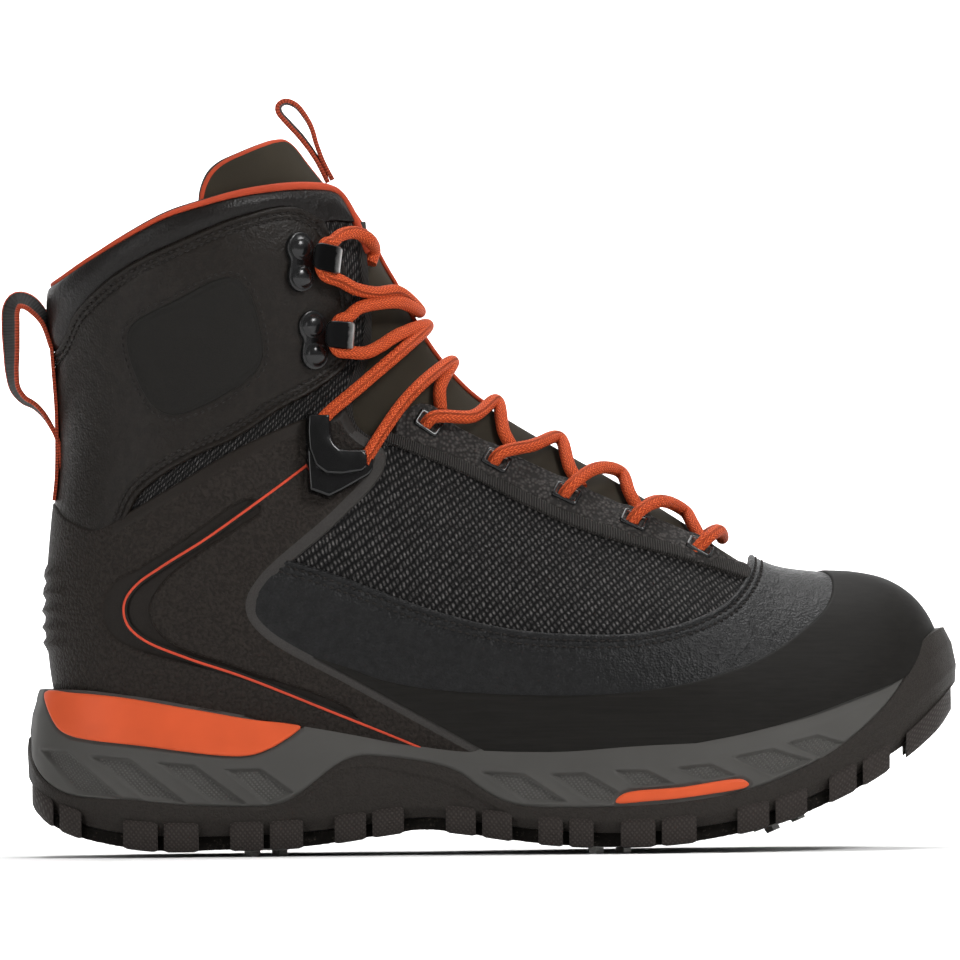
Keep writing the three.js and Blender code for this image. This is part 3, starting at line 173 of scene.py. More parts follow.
# Outlines in the side view: [share of the sole's length, share of the upper's height]
COLLAR_EDGE = [
    (-0.03, 0.8), (0.019, 0.8), (0.032, 0.81), (0.071, 0.856), (0.118, 0.906), (0.156, 0.941),
    (0.193, 0.963), (0.24, 0.985), (0.302, 0.996), (0.335, 0.986), (0.354, 0.938), (0.369, 0.864),
]
THROAT_EDGE = [
    (0.369, 0.864), (0.374, 0.7), (0.37, 0.645), (0.354, 0.57), (0.357, 0.52), (0.38, 0.49),
    (0.398, 0.496), (0.404, 0.536), (0.424, 0.558), (0.44, 0.55), (0.463, 0.515), (0.492, 0.486),
    (0.618, 0.373), (0.725, 0.284), (0.755, 0.245), (0.775, 0.232), (0.782, 0.25),
]
CAGE_TOP = [
    (-0.03, 0.383), (0.03, 0.38), (0.05, 0.338), (0.078, 0.315), (0.094, 0.327), (0.119, 0.357),
    (0.17, 0.412), (0.228, 0.473), (0.295, 0.528), (0.345, 0.555),
]
CAGE_FRONT = [
    (0.345, 0.555), (0.358, 0.51), (0.388, 0.464), (0.384, 0.42), (0.34, 0.331), (0.261, 0.202),
    (0.25, 0.16), (0.263, 0.123), (0.361, 0.018), (0.511, -0.135), (0.62, -0.25),
]
RAND_EDGE = [
    (0.28, 0.078), (0.345, 0.04), (0.383, 0.014), (0.44, -0.006), (0.575, -0.02), (0.66, -0.013),
    (0.725, 0.007), (0.789, 0.047), (0.831, 0.096), (0.861, 0.15), (0.866, 0.19), (0.861, 0.205),
    (0.845, 0.212), (0.834, 0.222), (0.831, 0.26),
]
BAND_EDGE = [
    (0.238, 0.278), (0.322, 0.23), (0.439, 0.149), (0.52, 0.111), (0.6, 0.098), (0.66, 0.1),
    (0.715, 0.124), (0.751, 0.157), (0.769, 0.194), (0.776, 0.225), (0.777, 0.3),
]
PANEL_TOP = [
    (-0.03, 0.66), (0.035, 0.669), (0.062, 0.757), (0.107, 0.83), (0.173, 0.89), (0.238, 0.936),
    (0.29, 0.952), (0.322, 0.925),
]
PANEL_FRONT = [
    (0.322, 0.925), (0.345, 0.83), (0.353, 0.74), (0.352, 0.675), (0.344, 0.633), (0.317, 0.592),
    (0.272, 0.547), (0.228, 0.495), (0.183, 0.458), (0.147, 0.419), (0.123, 0.381), (0.112, 0.34),
    (0.104, 0.3), (0.1, 0.27),
]
PATCH = [
    (0.119, 0.721), (0.164, 0.769), (0.222, 0.815), (0.24, 0.795), (0.257, 0.659), (0.245, 0.618),
    (0.164, 0.542), (0.14, 0.565), (0.115, 0.681),
]
EYESTAY_LOW = [(0.383, 0.487), (0.472, 0.419), (0.538, 0.355), (0.603, 0.302), (0.733, 0.228), (0.79, 0.19)]
TONGUE_TOP = [
    (0.192, 0.95), (0.193, 0.978), (0.198, 1.005), (0.207, 1.03), (0.221, 1.05), (0.244, 1.07),
    (0.264, 1.086), (0.281, 1.097), (0.291, 1.098), (0.301, 1.084), (0.315, 1.05), (0.333, 1.008),
]
TONGUE_REAR = [(0.78, 0.15), (0.6, 0.31), (0.42, 0.45), (0.34, 0.47), (0.29, 0.7), (0.192, 0.95)]

# Outlines in the side view of the sole: [share of its length, share of its height]
RUBBER_EDGE = [
    (-0.02, 0.76), (0, 0.739), (0.004, 0.591), (0.014, 0.485), (0.041, 0.383), (0.115, 0.343),
    (0.19, 0.303), (0.265, 0.305), (0.283, 0.339), (0.335, 0.549), (0.353, 0.589), (0.37, 0.594),
    (0.436, 0.543), (0.464, 0.488), (0.489, 0.386), (0.511, 0.32), (0.532, 0.289), (0.628, 0.278),
    (0.725, 0.32), (0.789, 0.398), (0.864, 0.589), (0.908, 0.777), (0.934, 0.935), (0.948, 1.065),
    (0.961, 1.21), (0.974, 1.45),
]
HEEL_PANEL = [
    (0.02, 0.99), (0.05, 0.985), (0.1, 0.958), (0.173, 0.888), (0.24, 0.82), (0.297, 0.768), (0.29, 0.73),
    (0.262, 0.635), (0.235, 0.592), (0.126, 0.655), (0.043, 0.728), (0.03, 0.79),
]
FORE_STRIP = [
    (0.629, 0.3), (0.632, 0.335), (0.642, 0.367), (0.703, 0.398), (0.757, 0.44), (0.769, 0.435),
    (0.776, 0.395), (0.716, 0.33), (0.667, 0.304),
]

# Fittings: place in the side view and degrees that each is turned
EYELETS = [
    (0.433, 0.517, -33), (0.506, 0.44, -31), (0.581, 0.372, -29), (0.653, 0.317, -26), (0.722, 0.262, -25),
]
HOOKS = [(0.317, 0.845, -7), (0.331, 0.697, -4)]
LOCK = (0.329, 0.459, 0)
RIVETS = [(-8.8, 2.6), (-7, -7.2)]
HOOK_PLATE = [
    (-3.4, 2.6), (-4.2, 5.6), (-6.8, 7.7), (-9.4, 8.0), (-12.4, 6.6), (-14.1, 3.4), (-13.7, 0.2),
    (-11.9, -2.6), (-12.1, -5.6), (-11.6, -9.6), (-9.2, -12.0), (-6.2, -12.3), (-3.2, -10.6),
    (-2.0, -7.6), (-2.6, -4.2), (-3.2, -1.0),
]
VAMP_CROSSINGS = [
    ((0.474, 0.517), 0.507, (0.516, 0.498)),
    ((0.54, 0.455), 0.574, (0.586, 0.428)),
    ((0.607, 0.405), 0.64, (0.65, 0.376)),
    ((0.675, 0.338), 0.708, (0.717, 0.315)),
]
LOCK_CROSSING = [(0.3645, 0.442), (0.371, 0.462), (0.387, 0.508), (0.406, 0.557), (0.428, 0.6)]
NEAR_OUT = [(0.3165, 0.522), (0.3303, 0.547), (0.349, 0.5755), (0.3742, 0.6146), (0.407, 0.666)]
FAR_IN = [(0.401, 0.695), (0.383, 0.674), (0.368, 0.662), (0.353, 0.663)]
FAR_OUT = [(0.349, 0.732), (0.361, 0.75), (0.38, 0.759), (0.405, 0.762)]
NEAR_IN = [(0.402, 0.784), (0.38, 0.781), (0.358, 0.789), (0.342, 0.805)]
NEAR_END = [(0.333, 0.881), (0.342, 0.895), (0.358, 0.901), (0.373, 0.888), (0.378, 0.864)]
BEHIND_NECK = [(-0.001, -0.03), (-0.006, 0), (-0.001, 0.03)]
TONGUE_LOOP = [
    (0.329, 1.003), (0.317, 1.05), (0.301, 1.093), (0.287, 1.122), (0.277, 1.145), (0.277, 1.157),
    (0.284, 1.165), (0.295, 1.158), (0.305, 1.136), (0.312, 1.112), (0.317, 1.08), (0.324, 1.045),
    (0.334, 1.008),
]

# The photograph: millimetres to a pixel, where the boot's heel and floor lie in it, and its slight roll
PIXEL = 0.342
HEEL_PIXEL = 22
FLOOR_PIXEL = 857.5
ROLL = 0.0105
ROLL_PIXEL = 290
PICTURE = 960

# Details measured in the photograph, in its pixels
CHANNEL = [
    (250, 498), (180, 541), (137, 569), (112, 584), (101, 613), (114, 640), (246, 680), (330, 711),
    (360, 722), (352, 712), (330, 699), (240, 668), (164, 638), (149, 611), (164, 582), (200, 553),
    (240, 527), (262, 510),
]
CAGE_LINE = [
    (309, 463.5), (306, 465.7), (257, 501.5), (205, 539), (160, 568), (137, 585), (126, 600),
    (124, 613), (128, 626), (143, 640), (183, 657), (240, 676), (330, 711), (388, 733), (420, 745),
]
HEEL_RIBS = [575, 593, 611, 628, 644]
RIB_PIXEL = 30
DENTS = [
    [(36, 750.5), (63, 752.6), (118, 800), (71.6, 794.7)],
    [(84, 755.8), (126, 760), (182, 804), (140, 800)],
    [(152.6, 763), (190.5, 766), (243, 805), (208, 803)],
    [(221, 770.5), (257, 769.5), (289.5, 793), (263, 805)],
    [(476.8, 771.7), (521, 774), (563.5, 802), (521, 802)],
    [(546, 774), (582, 772.8), (615.6, 792), (608, 804), (584, 801)],
    [(610, 770), (643.6, 770), (671, 783.7), (631, 787)],
    [(672, 767.6), (708, 764), (733, 775.6), (700, 781)],
    [(729.7, 757), (770, 749), (811, 760.7), (770, 775.6)],
    [(783.7, 743.5), (815.8, 735.4), (843, 743.5), (820, 758)],
]
LOCK_LOW = [
    (308, 413), (331, 413), (332, 434), (336, 444), (342, 449), (366, 449.5), (373, 456), (373.5, 468),
    (369.5, 474.5), (343, 489.5), (329, 496.5), (320, 493), (310, 489.5), (308.5, 466), (307, 430),
]
LOCK_TOP = [
    (309.5, 414), (330, 414), (330.5, 435), (334.5, 443.5), (341, 449.5), (364.5, 450), (367.5, 454.4),
    (367, 466.5), (362.7, 470.7), (342, 473.8), (326.4, 473), (316.5, 465.3), (309.5, 447),
    (308.5, 430),
]
HEEL_LOOP = [
    (51, 338), (44, 321), (35, 308), (25, 300), (15, 299), (9.5, 307), (8.5, 325), (9, 350), (9.5, 371),
    (12.5, 388), (21, 399), (31, 404.5), (40, 413), (49, 427), (55, 440), (58, 455), (60, 480),
]
ARCH_STEP = [(285, 812), (300, 796.6), (354, 768), (408, 775), (452, 786), (480, 802), (500, 812)]
ARCH_STEP_END = [(500, 880), (285, 880)]

# Fineness of the modelled surfaces
ROWS = 330
TURNS = 230


# Smooth curves and outlines

def smooth(values, t):
    """The value at row t of a table's column; 2.5 is half way from row 2 to row 3."""
    t = np.asarray(t, float)
    last = len(values) - 1
    i = np.clip(np.floor(t).astype(int), 0, last - 1)
    f = t - i
    a, b, c, d = (values[np.clip(i + k, 0, last)] for k in (-1, 0, 1, 2))
    return b + 0.5 * f * (c - a + f * (2 * a - 5 * b + 4 * c - d + f * (3 * (b - c) + d - a)))


def curve(points, closed=False, step=1.5):
    """A smooth line through points in any number of dimensions, as evenly spaced points."""
    p = np.array(points, float)
    if closed:
        p = np.vstack([p[-1], p, p[0], p[1]])
    else:
        p = np.vstack([2 * p[0] - p[1], p, 2 * p[-1] - p[-2]])
    knots = np.concatenate([[0], np.cumsum(np.linalg.norm(np.diff(p, axis=0), axis=1) ** 0.5)])
    made = []
    for i in range(1, len(p) - 2):
        t0, t1, t2, t3 = knots[i - 1:i + 3]
        count = max(int(np.linalg.norm(p[i + 1] - p[i]) / step), 1) * 4
        t = np.linspace(t1, t2, count, endpoint=False)[:, None]
        a1 = (t1 - t) / (t1 - t0) * p[i - 1] + (t - t0) / (t1 - t0) * p[i]
        a2 = (t2 - t) / (t2 - t1) * p[i] + (t - t1) / (t2 - t1) * p[i + 1]
        a3 = (t3 - t) / (t3 - t2) * p[i + 1] + (t - t2) / (t3 - t2) * p[i + 2]
        b1 = (t2 - t) / (t2 - t0) * a1 + (t - t0) / (t2 - t0) * a2
        b2 = (t3 - t) / (t3 - t1) * a2 + (t - t1) / (t3 - t1) * a3
        made.append((t2 - t) / (t2 - t1) * b1 + (t - t1) / (t2 - t1) * b2)
    made = np.vstack(made + [p[-2:-1]])
    return resample(made, step)


def run_lengths(points):
    """Length along a line at each of its points."""
    return np.concatenate([[0], np.cumsum(np.linalg.norm(np.diff(points, axis=0), axis=1))])


def grid_lengths(points):
    """Lengths along the rows and along the columns of a grid of points."""
    along = np.cumsum(np.linalg.norm(np.diff(points, axis=0, prepend=points[:1]), axis=2), axis=0)
    across = np.cumsum(np.linalg.norm(np.diff(points, axis=1, prepend=points[:, :1]), axis=2), axis=1)
    return along, across


def resample(points, step):
    """The same line with points about a step apart."""
    lengths = run_lengths(points)
    count = max(int(round(lengths[-1] / step)), 2)
    at = np.linspace(0, lengths[-1], count + 1)
    return np.stack([np.interp(at, lengths, points[:, k]) for k in range(points.shape[1])], axis=1)


def on_upper(points):
    """Side-view points in millimetres from shares of the length and of the upper's height."""
    p = np.array(points, float)
    return np.stack([p[:, 0] * SOLE_LENGTH, SOLE_HEIGHT + p[:, 1] * UPPER_HEIGHT], axis=1)


def on_sole(points):
    """Side-view points in millimetres from shares of the length and of the sole's height."""
    return np.array(points, float) * (SOLE_LENGTH, SOLE_HEIGHT)


def in_photo(points):
    """Side-view points in millimetres from pixels of the photograph."""
    p = np.array(points, float)
    rise = FLOOR_PIXEL - p[:, 1] - (p[:, 0] - ROLL_PIXEL) * ROLL
    return np.stack([(p[:, 0] - HEEL_PIXEL) * PIXEL, rise * PIXEL], axis=1)


def outline(*runs):
    """A closed outline from smooth runs of points, with a corner wherever two runs meet."""
    return np.vstack([curve(run) if len(run) > 2 else np.array(run, float) for run in runs])


def signed(points, polygon):
    """Distance of 2-D points inside a closed polygon, negative outside, and the direction of its slope."""
    best = np.full(len(points), 1e18)
    away = np.zeros((len(points), 2))
    inside = np.zeros(len(points), bool)
    x, y = points[:, 0], points[:, 1]
    for (ax, ay), (bx, by) in zip(polygon, np.roll(polygon, -1, axis=0)):
        dx, dy = bx - ax, by - ay
        size = dx * dx + dy * dy
        if size < 1e-12:
            continue
        f = np.clip(((x - ax) * dx + (y - ay) * dy) / size, 0, 1)
        ox, oy = x - ax - f * dx, y - ay - f * dy
        far = ox * ox + oy * oy
        near = far < best
        best = np.where(near, far, best)
        away[near, 0], away[near, 1] = ox[near], oy[near]
        if ay != by:
            inside ^= ((ay > y) != (by > y)) & (x < (bx - ax) * (y - ay) / (by - ay) + ax)
    distance = np.sqrt(best)
    slope = away / np.maximum(distance, 1e-6)[:, None]
    return np.where(inside, distance, -distance), slope


def step_up(value, low, high):
    """0 below low, 1 above high, smooth between."""
    f = np.clip((value - low) / (high - low), 0, 1)
    return f * f * (3 - 2 * f)


# The boot's form

def section(name, t):
    """A column of the sections' table at row t."""
    return smooth(SECTIONS[name], t)


def form_point(t, turn):
    """Point of the form at section t and angle turn."""
    t, turn = np.broadcast_arrays(np.asarray(t, float), np.asarray(turn, float))
    width = section("ball", t) * BALL_WIDTH + section("collar", t) * COLLAR_WIDTH
    lean = np.cos(turn)
    power = np.where(lean > 0, section("heel_power", t), section("instep_power", t))
    share = ((1 - lean) / 2) ** (np.log(section("widest", t)) / math.log(0.5))
    half = np.maximum(width, 0) * np.maximum(1 - np.abs(lean) ** power, 0) ** (1 / power)
    back_x, front_x = section("back_x", t) * SOLE_LENGTH, section("front_x", t) * SOLE_LENGTH
    back_z = SOLE_HEIGHT + section("back_rise", t) * UPPER_HEIGHT
    front_z = SOLE_HEIGHT + section("front_rise", t) * UPPER_HEIGHT
    side = np.sign(np.round(np.sin(turn), 9))
    return np.stack(
        [
            back_x + share * (front_x - back_x),
            section("swing", t) * TOE_SWING + side * half,
            back_z + share * (front_z - back_z),
        ],
        axis=-1,
    )


def form_normal(t, turn):
    """Outward direction of the form there."""
    step = 0.02
    row = np.clip(t, 0.35, LAST_SECTION - step)
    ahead = form_point(row + step, turn) - form_point(row - step, turn)
    left = form_point(row, turn + step) - form_point(row, turn - step)
    normal = np.cross(ahead, left)
    return normal / np.maximum(np.linalg.norm(normal, axis=-1, keepdims=True), 1e-12)


def find_on_form(points, side):
    """The section and angle of side-view points on one side of the form."""
    p = np.array(points, float)

    def end(which, t):
        rise = section(f"{which}_rise", t) * UPPER_HEIGHT
        return np.stack([section(f"{which}_x", t) * SOLE_LENGTH, SOLE_HEIGHT + rise], -1)

    def chord(t):
        """How far the points lie off the section's line from back to front, and where along it."""
        bottom, top = end("back", t), end("front", t)
        span, start = top - bottom, p - bottom
        off = span[..., 0] * start[..., 1] - span[..., 1] * start[..., 0]
        return off, (span * start).sum(-1) / (span * span).sum(-1)

    low, high = np.full(len(p), 1.0), np.full(len(p), float(LAST_SECTION))
    for _ in range(36):
        middle = (low + high) / 2
        above = chord(middle)[0] > 0
        low, high = np.where(above, middle, low), np.where(above, high, middle)
    t = (low + high) / 2
    share = np.clip(chord(t)[1], 0.001, 0.999)
    lean = 1 - 2 * share ** (math.log(0.5) / np.log(section("widest", t)))
    return t, side * np.arccos(np.clip(lean, -1, 1))


def on_form(point, side, distance):
    """Point over the form at one place of the side view, given in shares."""
    t, turn = find_on_form(on_upper([point]), side)
    return (form_point(t, turn) + form_normal(t, turn) * distance)[0]


def on_ridge(x, distance):
    """Point over the ridge of the instep or shin, at a share of the length."""
    low, high = 5.0, float(LAST_SECTION)
    for _ in range(40):
        middle = (low + high) / 2
        if section("front_x", middle) > x:
            low = middle
        else:
            high = middle
    return form_point(low, math.pi) + form_normal(low, math.pi) * distance


# The sole's wall

def sole_outline():
    """The sole's edge from above, from the heel along the outer side to the toe and back: x, y and row."""
    even = np.linspace(0, 1, 330)
    t = (0.55 * (0.5 - 0.5 * np.cos(np.pi * even)) + 0.45 * even) * (len(SOLE["x"]) - 1)
    x = smooth(SOLE["x"], t) * SOLE_LENGTH
    outer, inner = -smooth(SOLE["outer"], t) * SOLE_WIDTH, smooth(SOLE["inner"], t) * SOLE_WIDTH
    one = np.stack([x, outer, t], axis=1)
    other = np.stack([x, inner, t], axis=1)[::-1]
    ring = np.vstack([one, other[1:-1]])
    return resample(np.vstack([ring, ring[:1]]), 1.15)[:-1]


RING = sole_outline()
RING_AHEAD = np.roll(RING[:, :2], -3, axis=0) - np.roll(RING[:, :2], 3, axis=0)
RING_OUT = np.stack([RING_AHEAD[:, 1], -RING_AHEAD[:, 0]], axis=1)
RING_OUT /= np.linalg.norm(RING_OUT, axis=1, keepdims=True)


def ring_at(s, what):
    """A column of the ring at place s along it, round and round."""
    count = len(what)
    i = np.floor(s).astype(int)
    f = s - i
    return what[i % count] * (1 - f) + what[(i + 1) % count] * f


def wall_point(s, level):
    """Point of the sole's wall at place s on its ring and level from its floor, 0, to its rim, 1."""
    row = ring_at(s, RING[:, 2])
    out = np.stack([ring_at(s, RING_OUT[:, 0]), ring_at(s, RING_OUT[:, 1])], axis=-1)
    out /= np.linalg.norm(out, axis=-1, keepdims=True)
    inset = np.interp(level, SOLE_SIDE["level"], SOLE_SIDE["inset"])
    bottom, top = smooth(SOLE["floor"], row) * SOLE_HEIGHT, smooth(SOLE["rim"], row) * SOLE_HEIGHT
    flat = np.stack([ring_at(s, RING[:, 0]), ring_at(s, RING[:, 1])], axis=-1)
    flat = flat - out * inset[..., None]
    return np.concatenate([flat, (bottom + level * (top - bottom))[..., None]], axis=-1)


def wall_normal(s, level):
    """Outward direction of the sole's wall there."""
    out = np.stack([ring_at(s, RING_OUT[:, 0]), ring_at(s, RING_OUT[:, 1]), np.zeros_like(s)], axis=-1)
    tilt = np.interp(level, [0, 0.1, 0.3, 0.55, 1], [-0.8, -0.25, 0.0, 0.06, 0.14])
    out[..., 2] = tilt
    return out / np.linalg.norm(out, axis=-1, keepdims=True)


# Surfaces cut to an outline

class Skin:
    """Faces on a base surface: points (a, b) with named values, cut where a value crosses a level."""

    def __init__(self, place, normal, a, b, uv):
        self.place, self.normal = place, normal
        rows, columns = len(a), len(b)
        grid_a, grid_b = np.meshgrid(a, b, indexing="ij")
        self.fields = {"a": grid_a.ravel(), "b": grid_b.ravel(), "u": uv[0].ravel(), "v": uv[1].ravel()}
        i, j = np.meshgrid(np.arange(rows - 1), np.arange(columns - 1), indexing="ij")
        corner = (i * columns + j).ravel()
        self.faces = np.stack([corner, corner + 1, corner + columns + 1, corner + columns], axis=1).tolist()

    def copy(self):
        """The same skin, to be cut by itself."""
        other = object.__new__(Skin)
        other.place, other.normal = self.place, self.normal
        other.fields = dict(self.fields)
        other.faces = list(self.faces)
        return other

    def points(self):
        """Where its points lie on the base surface."""
        return self.place(self.fields["a"], self.fields["b"])

    def normals(self):
        """Outward directions of the base surface at its points."""
        return self.normal(self.fields["a"], self.fields["b"])

    def measure(self, name, polygon):
        """Adds a value: the distance inside a side-view outline, measured along the surface."""
        p, n = self.points(), self.normals()
        distance, slope = signed(p[:, [0, 2]], polygon)
        facing = slope[:, 0] * n[:, 0] + slope[:, 1] * n[:, 2]
        self.fields[name] = distance / np.maximum(np.sqrt(np.maximum(1 - facing**2, 0)), 0.35)
        return self

    def select(self, chosen):
        """Keeps the faces whose points are all chosen, and drops unused points."""
        self.faces = [face for face in self.faces if all(chosen[k] for k in face)]
        used = np.unique([k for face in self.faces for k in face])
        renamed = np.zeros(len(chosen), int)
        renamed[used] = np.arange(len(used))
        self.fields = {name: value[used] for name, value in self.fields.items()}
        self.faces = [[renamed[k] for k in face] for face in self.faces]
        return self

    def cut(self, name, level):
        """Splits the faces along a level of a value, so that an edge runs there."""
        value = self.fields[name]
        near = np.abs(value - level) < 0.03
        value = np.where(near, level, value)
        self.fields[name] = value
        sign = np.sign(value - level)
        count = len(value)
        added, made, faces = {}, [], []
        for face in self.faces:
            signs = [sign[k] for k in face]
            if max(signs) <= 0 or min(signs) >= 0:
                faces.append(face)
                continue
            parts = {1: [], -1: []}
            for k, m in zip(face, face[1:] + face[:1]):
                if sign[k] == 0:
                    parts[1].append(k)
                    parts[-1].append(k)
                else:
                    parts[int(sign[k])].append(k)
                if sign[k] * sign[m] < 0:
                    key = (min(k, m), max(k, m))
                    if key not in added:
                        f = (level - value[key[0]]) / (value[key[1]] - value[key[0]])
                        added[key] = count + len(made)
                        made.append((key[0], key[1], f))
                    parts[1].append(added[key])
                    parts[-1].append(added[key])
            faces += [part for part in parts.values() if len(part) > 2]
        self.faces = faces
        if made:
            k, m = np.array([x[0] for x in made]), np.array([x[1] for x in made])
            f = np.array([x[2] for x in made])
            for key, old in self.fields.items():
                new = old[k] * (1 - f) + old[m] * f
                if key == name:
                    new[:] = level
                self.fields[key] = np.concatenate([old, new])
        return self

    def trim(self, name, low=0.0, high=None):
        """Keeps what lies between two levels of a value."""
        value = self.fields[name]
        reach = 6.0  # longer than any face, so that faces across an edge stay whole until they are cut
        near = value > low - reach
        if high is not None:
            near &= value < high + reach
        self.select(near)
        self.cut(name, low)
        self.select(self.fields[name] >= low - 1e-6)
        if high is not None:
            self.cut(name, high)
            self.select(self.fields[name] <= high + 1e-6)
        return self

    def clear_of(self, name, polygon, lap=0.0):
        """Keeps what lies outside an outline and a lap inside it; the value counts outwards."""
        self.measure(name, polygon)
        self.fields[name] = -self.fields[name]
        return self.trim(name, -lap)

    def cuts(self, name, levels):
        """Splits the faces along several levels of a value."""
        for level in levels:
            self.cut(name, level)
        return self

    def mean(self, value):
        """A value's mean over each face."""
        return np.array([np.mean([value[k] for k in face]) for face in self.faces])

    def lines(self, name, level):
        """The chains of points that run along a level, each a list of point numbers."""
        on = np.abs(self.fields[name] - level) < 1e-6
        links = {}
        for face in self.faces:
            for k, m in zip(face, face[1:] + face[:1]):
                if on[k] and on[m]:
                    links.setdefault(k, set()).add(m)
                    links.setdefault(m, set()).add(k)
        chains = []
        while links:
            start = next((k for k in links if len(links[k]) == 1), next(iter(links)))
            chain = [start]
            while links.get(chain[-1]):
                after = links[chain[-1]].pop()
                links[after].discard(chain[-1])
                chain.append(after)
            for k in set(chain):
                if not links.get(k):
                    links.pop(k, None)
            chains.append(chain)
        return [chain for chain in chains if len(chain) > 3]


def lift(height, skin):
    """The skin's points at a height over its base surface."""
    return skin.points() + skin.normals() * np.broadcast_to(height, len(skin.fields["a"]))[:, None]


def rim_edges(faces):
    """The directed edges that only one face has."""
    seen = {}
    for face in faces:
        for k, m in zip(face, face[1:] + face[:1]):
            seen[(k, m)] = True
    return [(k, m) for (k, m) in seen if (m, k) not in seen]


# Objects

def to_frame(points):
    """Millimetres of the boot's own origin as metres of the frame."""
    return np.asarray(points, float) / 1000 + ORIGIN


def make(name, points, faces, mats, uv=None, slots=None, sharp=40, weld=True):
    """An object from points in millimetres, riding on the boot."""
    mesh = bpy.data.meshes.new(name)
    mesh.from_pydata(to_frame(points).tolist(), [], [list(map(int, face)) for face in faces])
    if uv is not None:
        layer = mesh.uv_layers.new(name="UVMap")
        loops = np.zeros(len(mesh.loops), int)
        mesh.loops.foreach_get("vertex_index", loops)
        layer.data.foreach_set("uv", np.asarray(uv, float)[loops].ravel())
    for mat in mats if isinstance(mats, (list, tuple)) else [mats]:
        mesh.materials.append(mat)
    if slots is not None:
        mesh.polygons.foreach_set("material_index", np.asarray(slots, int))
    if weld:
        work = bmesh.new()
        work.from_mesh(mesh)
        bmesh.ops.remove_doubles(work, verts=work.verts, dist=4e-6)
        work.to_mesh(mesh)
        work.free()
    mesh.polygons.foreach_set("use_smooth", np.ones(len(mesh.polygons), bool))
    mesh.set_sharp_from_angle(angle=math.radians(sharp))
    mesh.update()
    obj = bpy.data.objects.new(name, mesh)
    bpy.context.scene.collection.objects.link(obj)
    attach(obj, "root")
    return obj


def turn_outward(obj):
    """Turns the faces of a closed piece outwards."""
    work = bmesh.new()
    work.from_mesh(obj.data)
    bmesh.ops.recalc_face_normals(work, faces=work.faces)
    work.to_mesh(obj.data)
    work.free()


def shell(name, skin, height, mats, foot=0.0, lining=None, slots=None, sharp=40):
    """The skin raised to its height, with sides down to its foot. A lining closes it underneath."""
    top = lift(height, skin)
    uv = np.stack([skin.fields["u"], skin.fields["v"]], axis=1)
    faces = [list(face) for face in skin.faces]
    count = len(top)
    low = lift(foot, skin)
    points, uvs = [top], [uv]
    kinds = list(slots) if slots is not None else [0] * len(faces)
    if lining is not None:
        points.append(low)
        uvs.append(uv)
        under = [[k + count for k in reversed(face)] for face in skin.faces]
        rim = [[m, k, k + count, m + count] for k, m in rim_edges(skin.faces)]
        faces += under + rim
        kinds += [lining] * len(under) + [lining] * len(rim)
    else:
        rim = rim_edges(skin.faces)
        ends = sorted({k for edge in rim for k in edge})
        renamed = {k: count + i for i, k in enumerate(ends)}
        points.append(low[ends])
        uvs.append(uv[ends])
        faces += [[m, k, renamed[k], renamed[m]] for k, m in rim]
        kinds += [0] * len(rim)
    return make(name, np.vstack(points), faces, mats, np.vstack(uvs), kinds, sharp)


def frames_along(path, up):
    """Side and up directions along a path. up is one hint for its start, or one for each point."""
    ahead = np.gradient(path, axis=0)
    ahead /= np.maximum(np.linalg.norm(ahead, axis=1, keepdims=True), 1e-9)
    ups = np.zeros_like(path)
    if np.ndim(up) == 2:
        ups = up - (up * ahead).sum(1, keepdims=True) * ahead
    else:
        now = np.array(up)
        for i, a in enumerate(ahead):
            now = now - now.dot(a) * a
            now = now / max(np.linalg.norm(now), 1e-9)
            ups[i] = now
    ups /= np.maximum(np.linalg.norm(ups, axis=1, keepdims=True), 1e-9)
    return np.cross(ahead, ups), ups


def bands(rings, n):
    """The faces between rings of n points each."""
    faces = []
    for i in range(rings - 1):
        low, high = i * n, (i + 1) * n
        faces += [[low + j, low + (j + 1) % n, high + (j + 1) % n, high + j] for j in range(n)]
    return faces


def ends(rings, n):
    """The two faces that close the first and the last of those rings."""
    return [list(range(n))[::-1], list(range((rings - 1) * n, rings * n))]


def sweep(path, profile, up, scale=1.0):
    """Points, faces and UVs of a section swept along a path. profile is (across, up) points."""
    side, ups = frames_along(path, up)
    n, count = len(path), len(profile)
    size = np.broadcast_to(scale, n)[:, None, None]
    offset = side[:, None] * profile[None, :, :1] + ups[:, None] * profile[None, :, 1:]
    points = (path[:, None] + offset * size).reshape(-1, 3)
    uv = np.stack(np.meshgrid(run_lengths(path), run_lengths(profile), indexing="ij"), axis=-1).reshape(-1, 2)
    return points, bands(n, count) + ends(n, count), uv


def circle(radius, sides=12, flat=1.0):
    """A round section, or an oval one that is flat times as high as wide."""
    turn = np.linspace(0, 2 * math.pi, sides, endpoint=False)
    return np.stack([radius * np.cos(turn), radius * flat * np.sin(turn)], axis=1)


def joined(parts):
    """Several (points, faces, uv) as one."""
    points, faces, uvs, kinds, count = [], [], [], [], 0
    for number, (p, f, u) in enumerate(parts):
        points.append(p)
        uvs.append(u)
        faces += [[k + count for k in face] for face in f]
        kinds += [number] * len(f)
        count += len(p)
    return np.vstack(points), faces, np.vstack(uvs), kinds


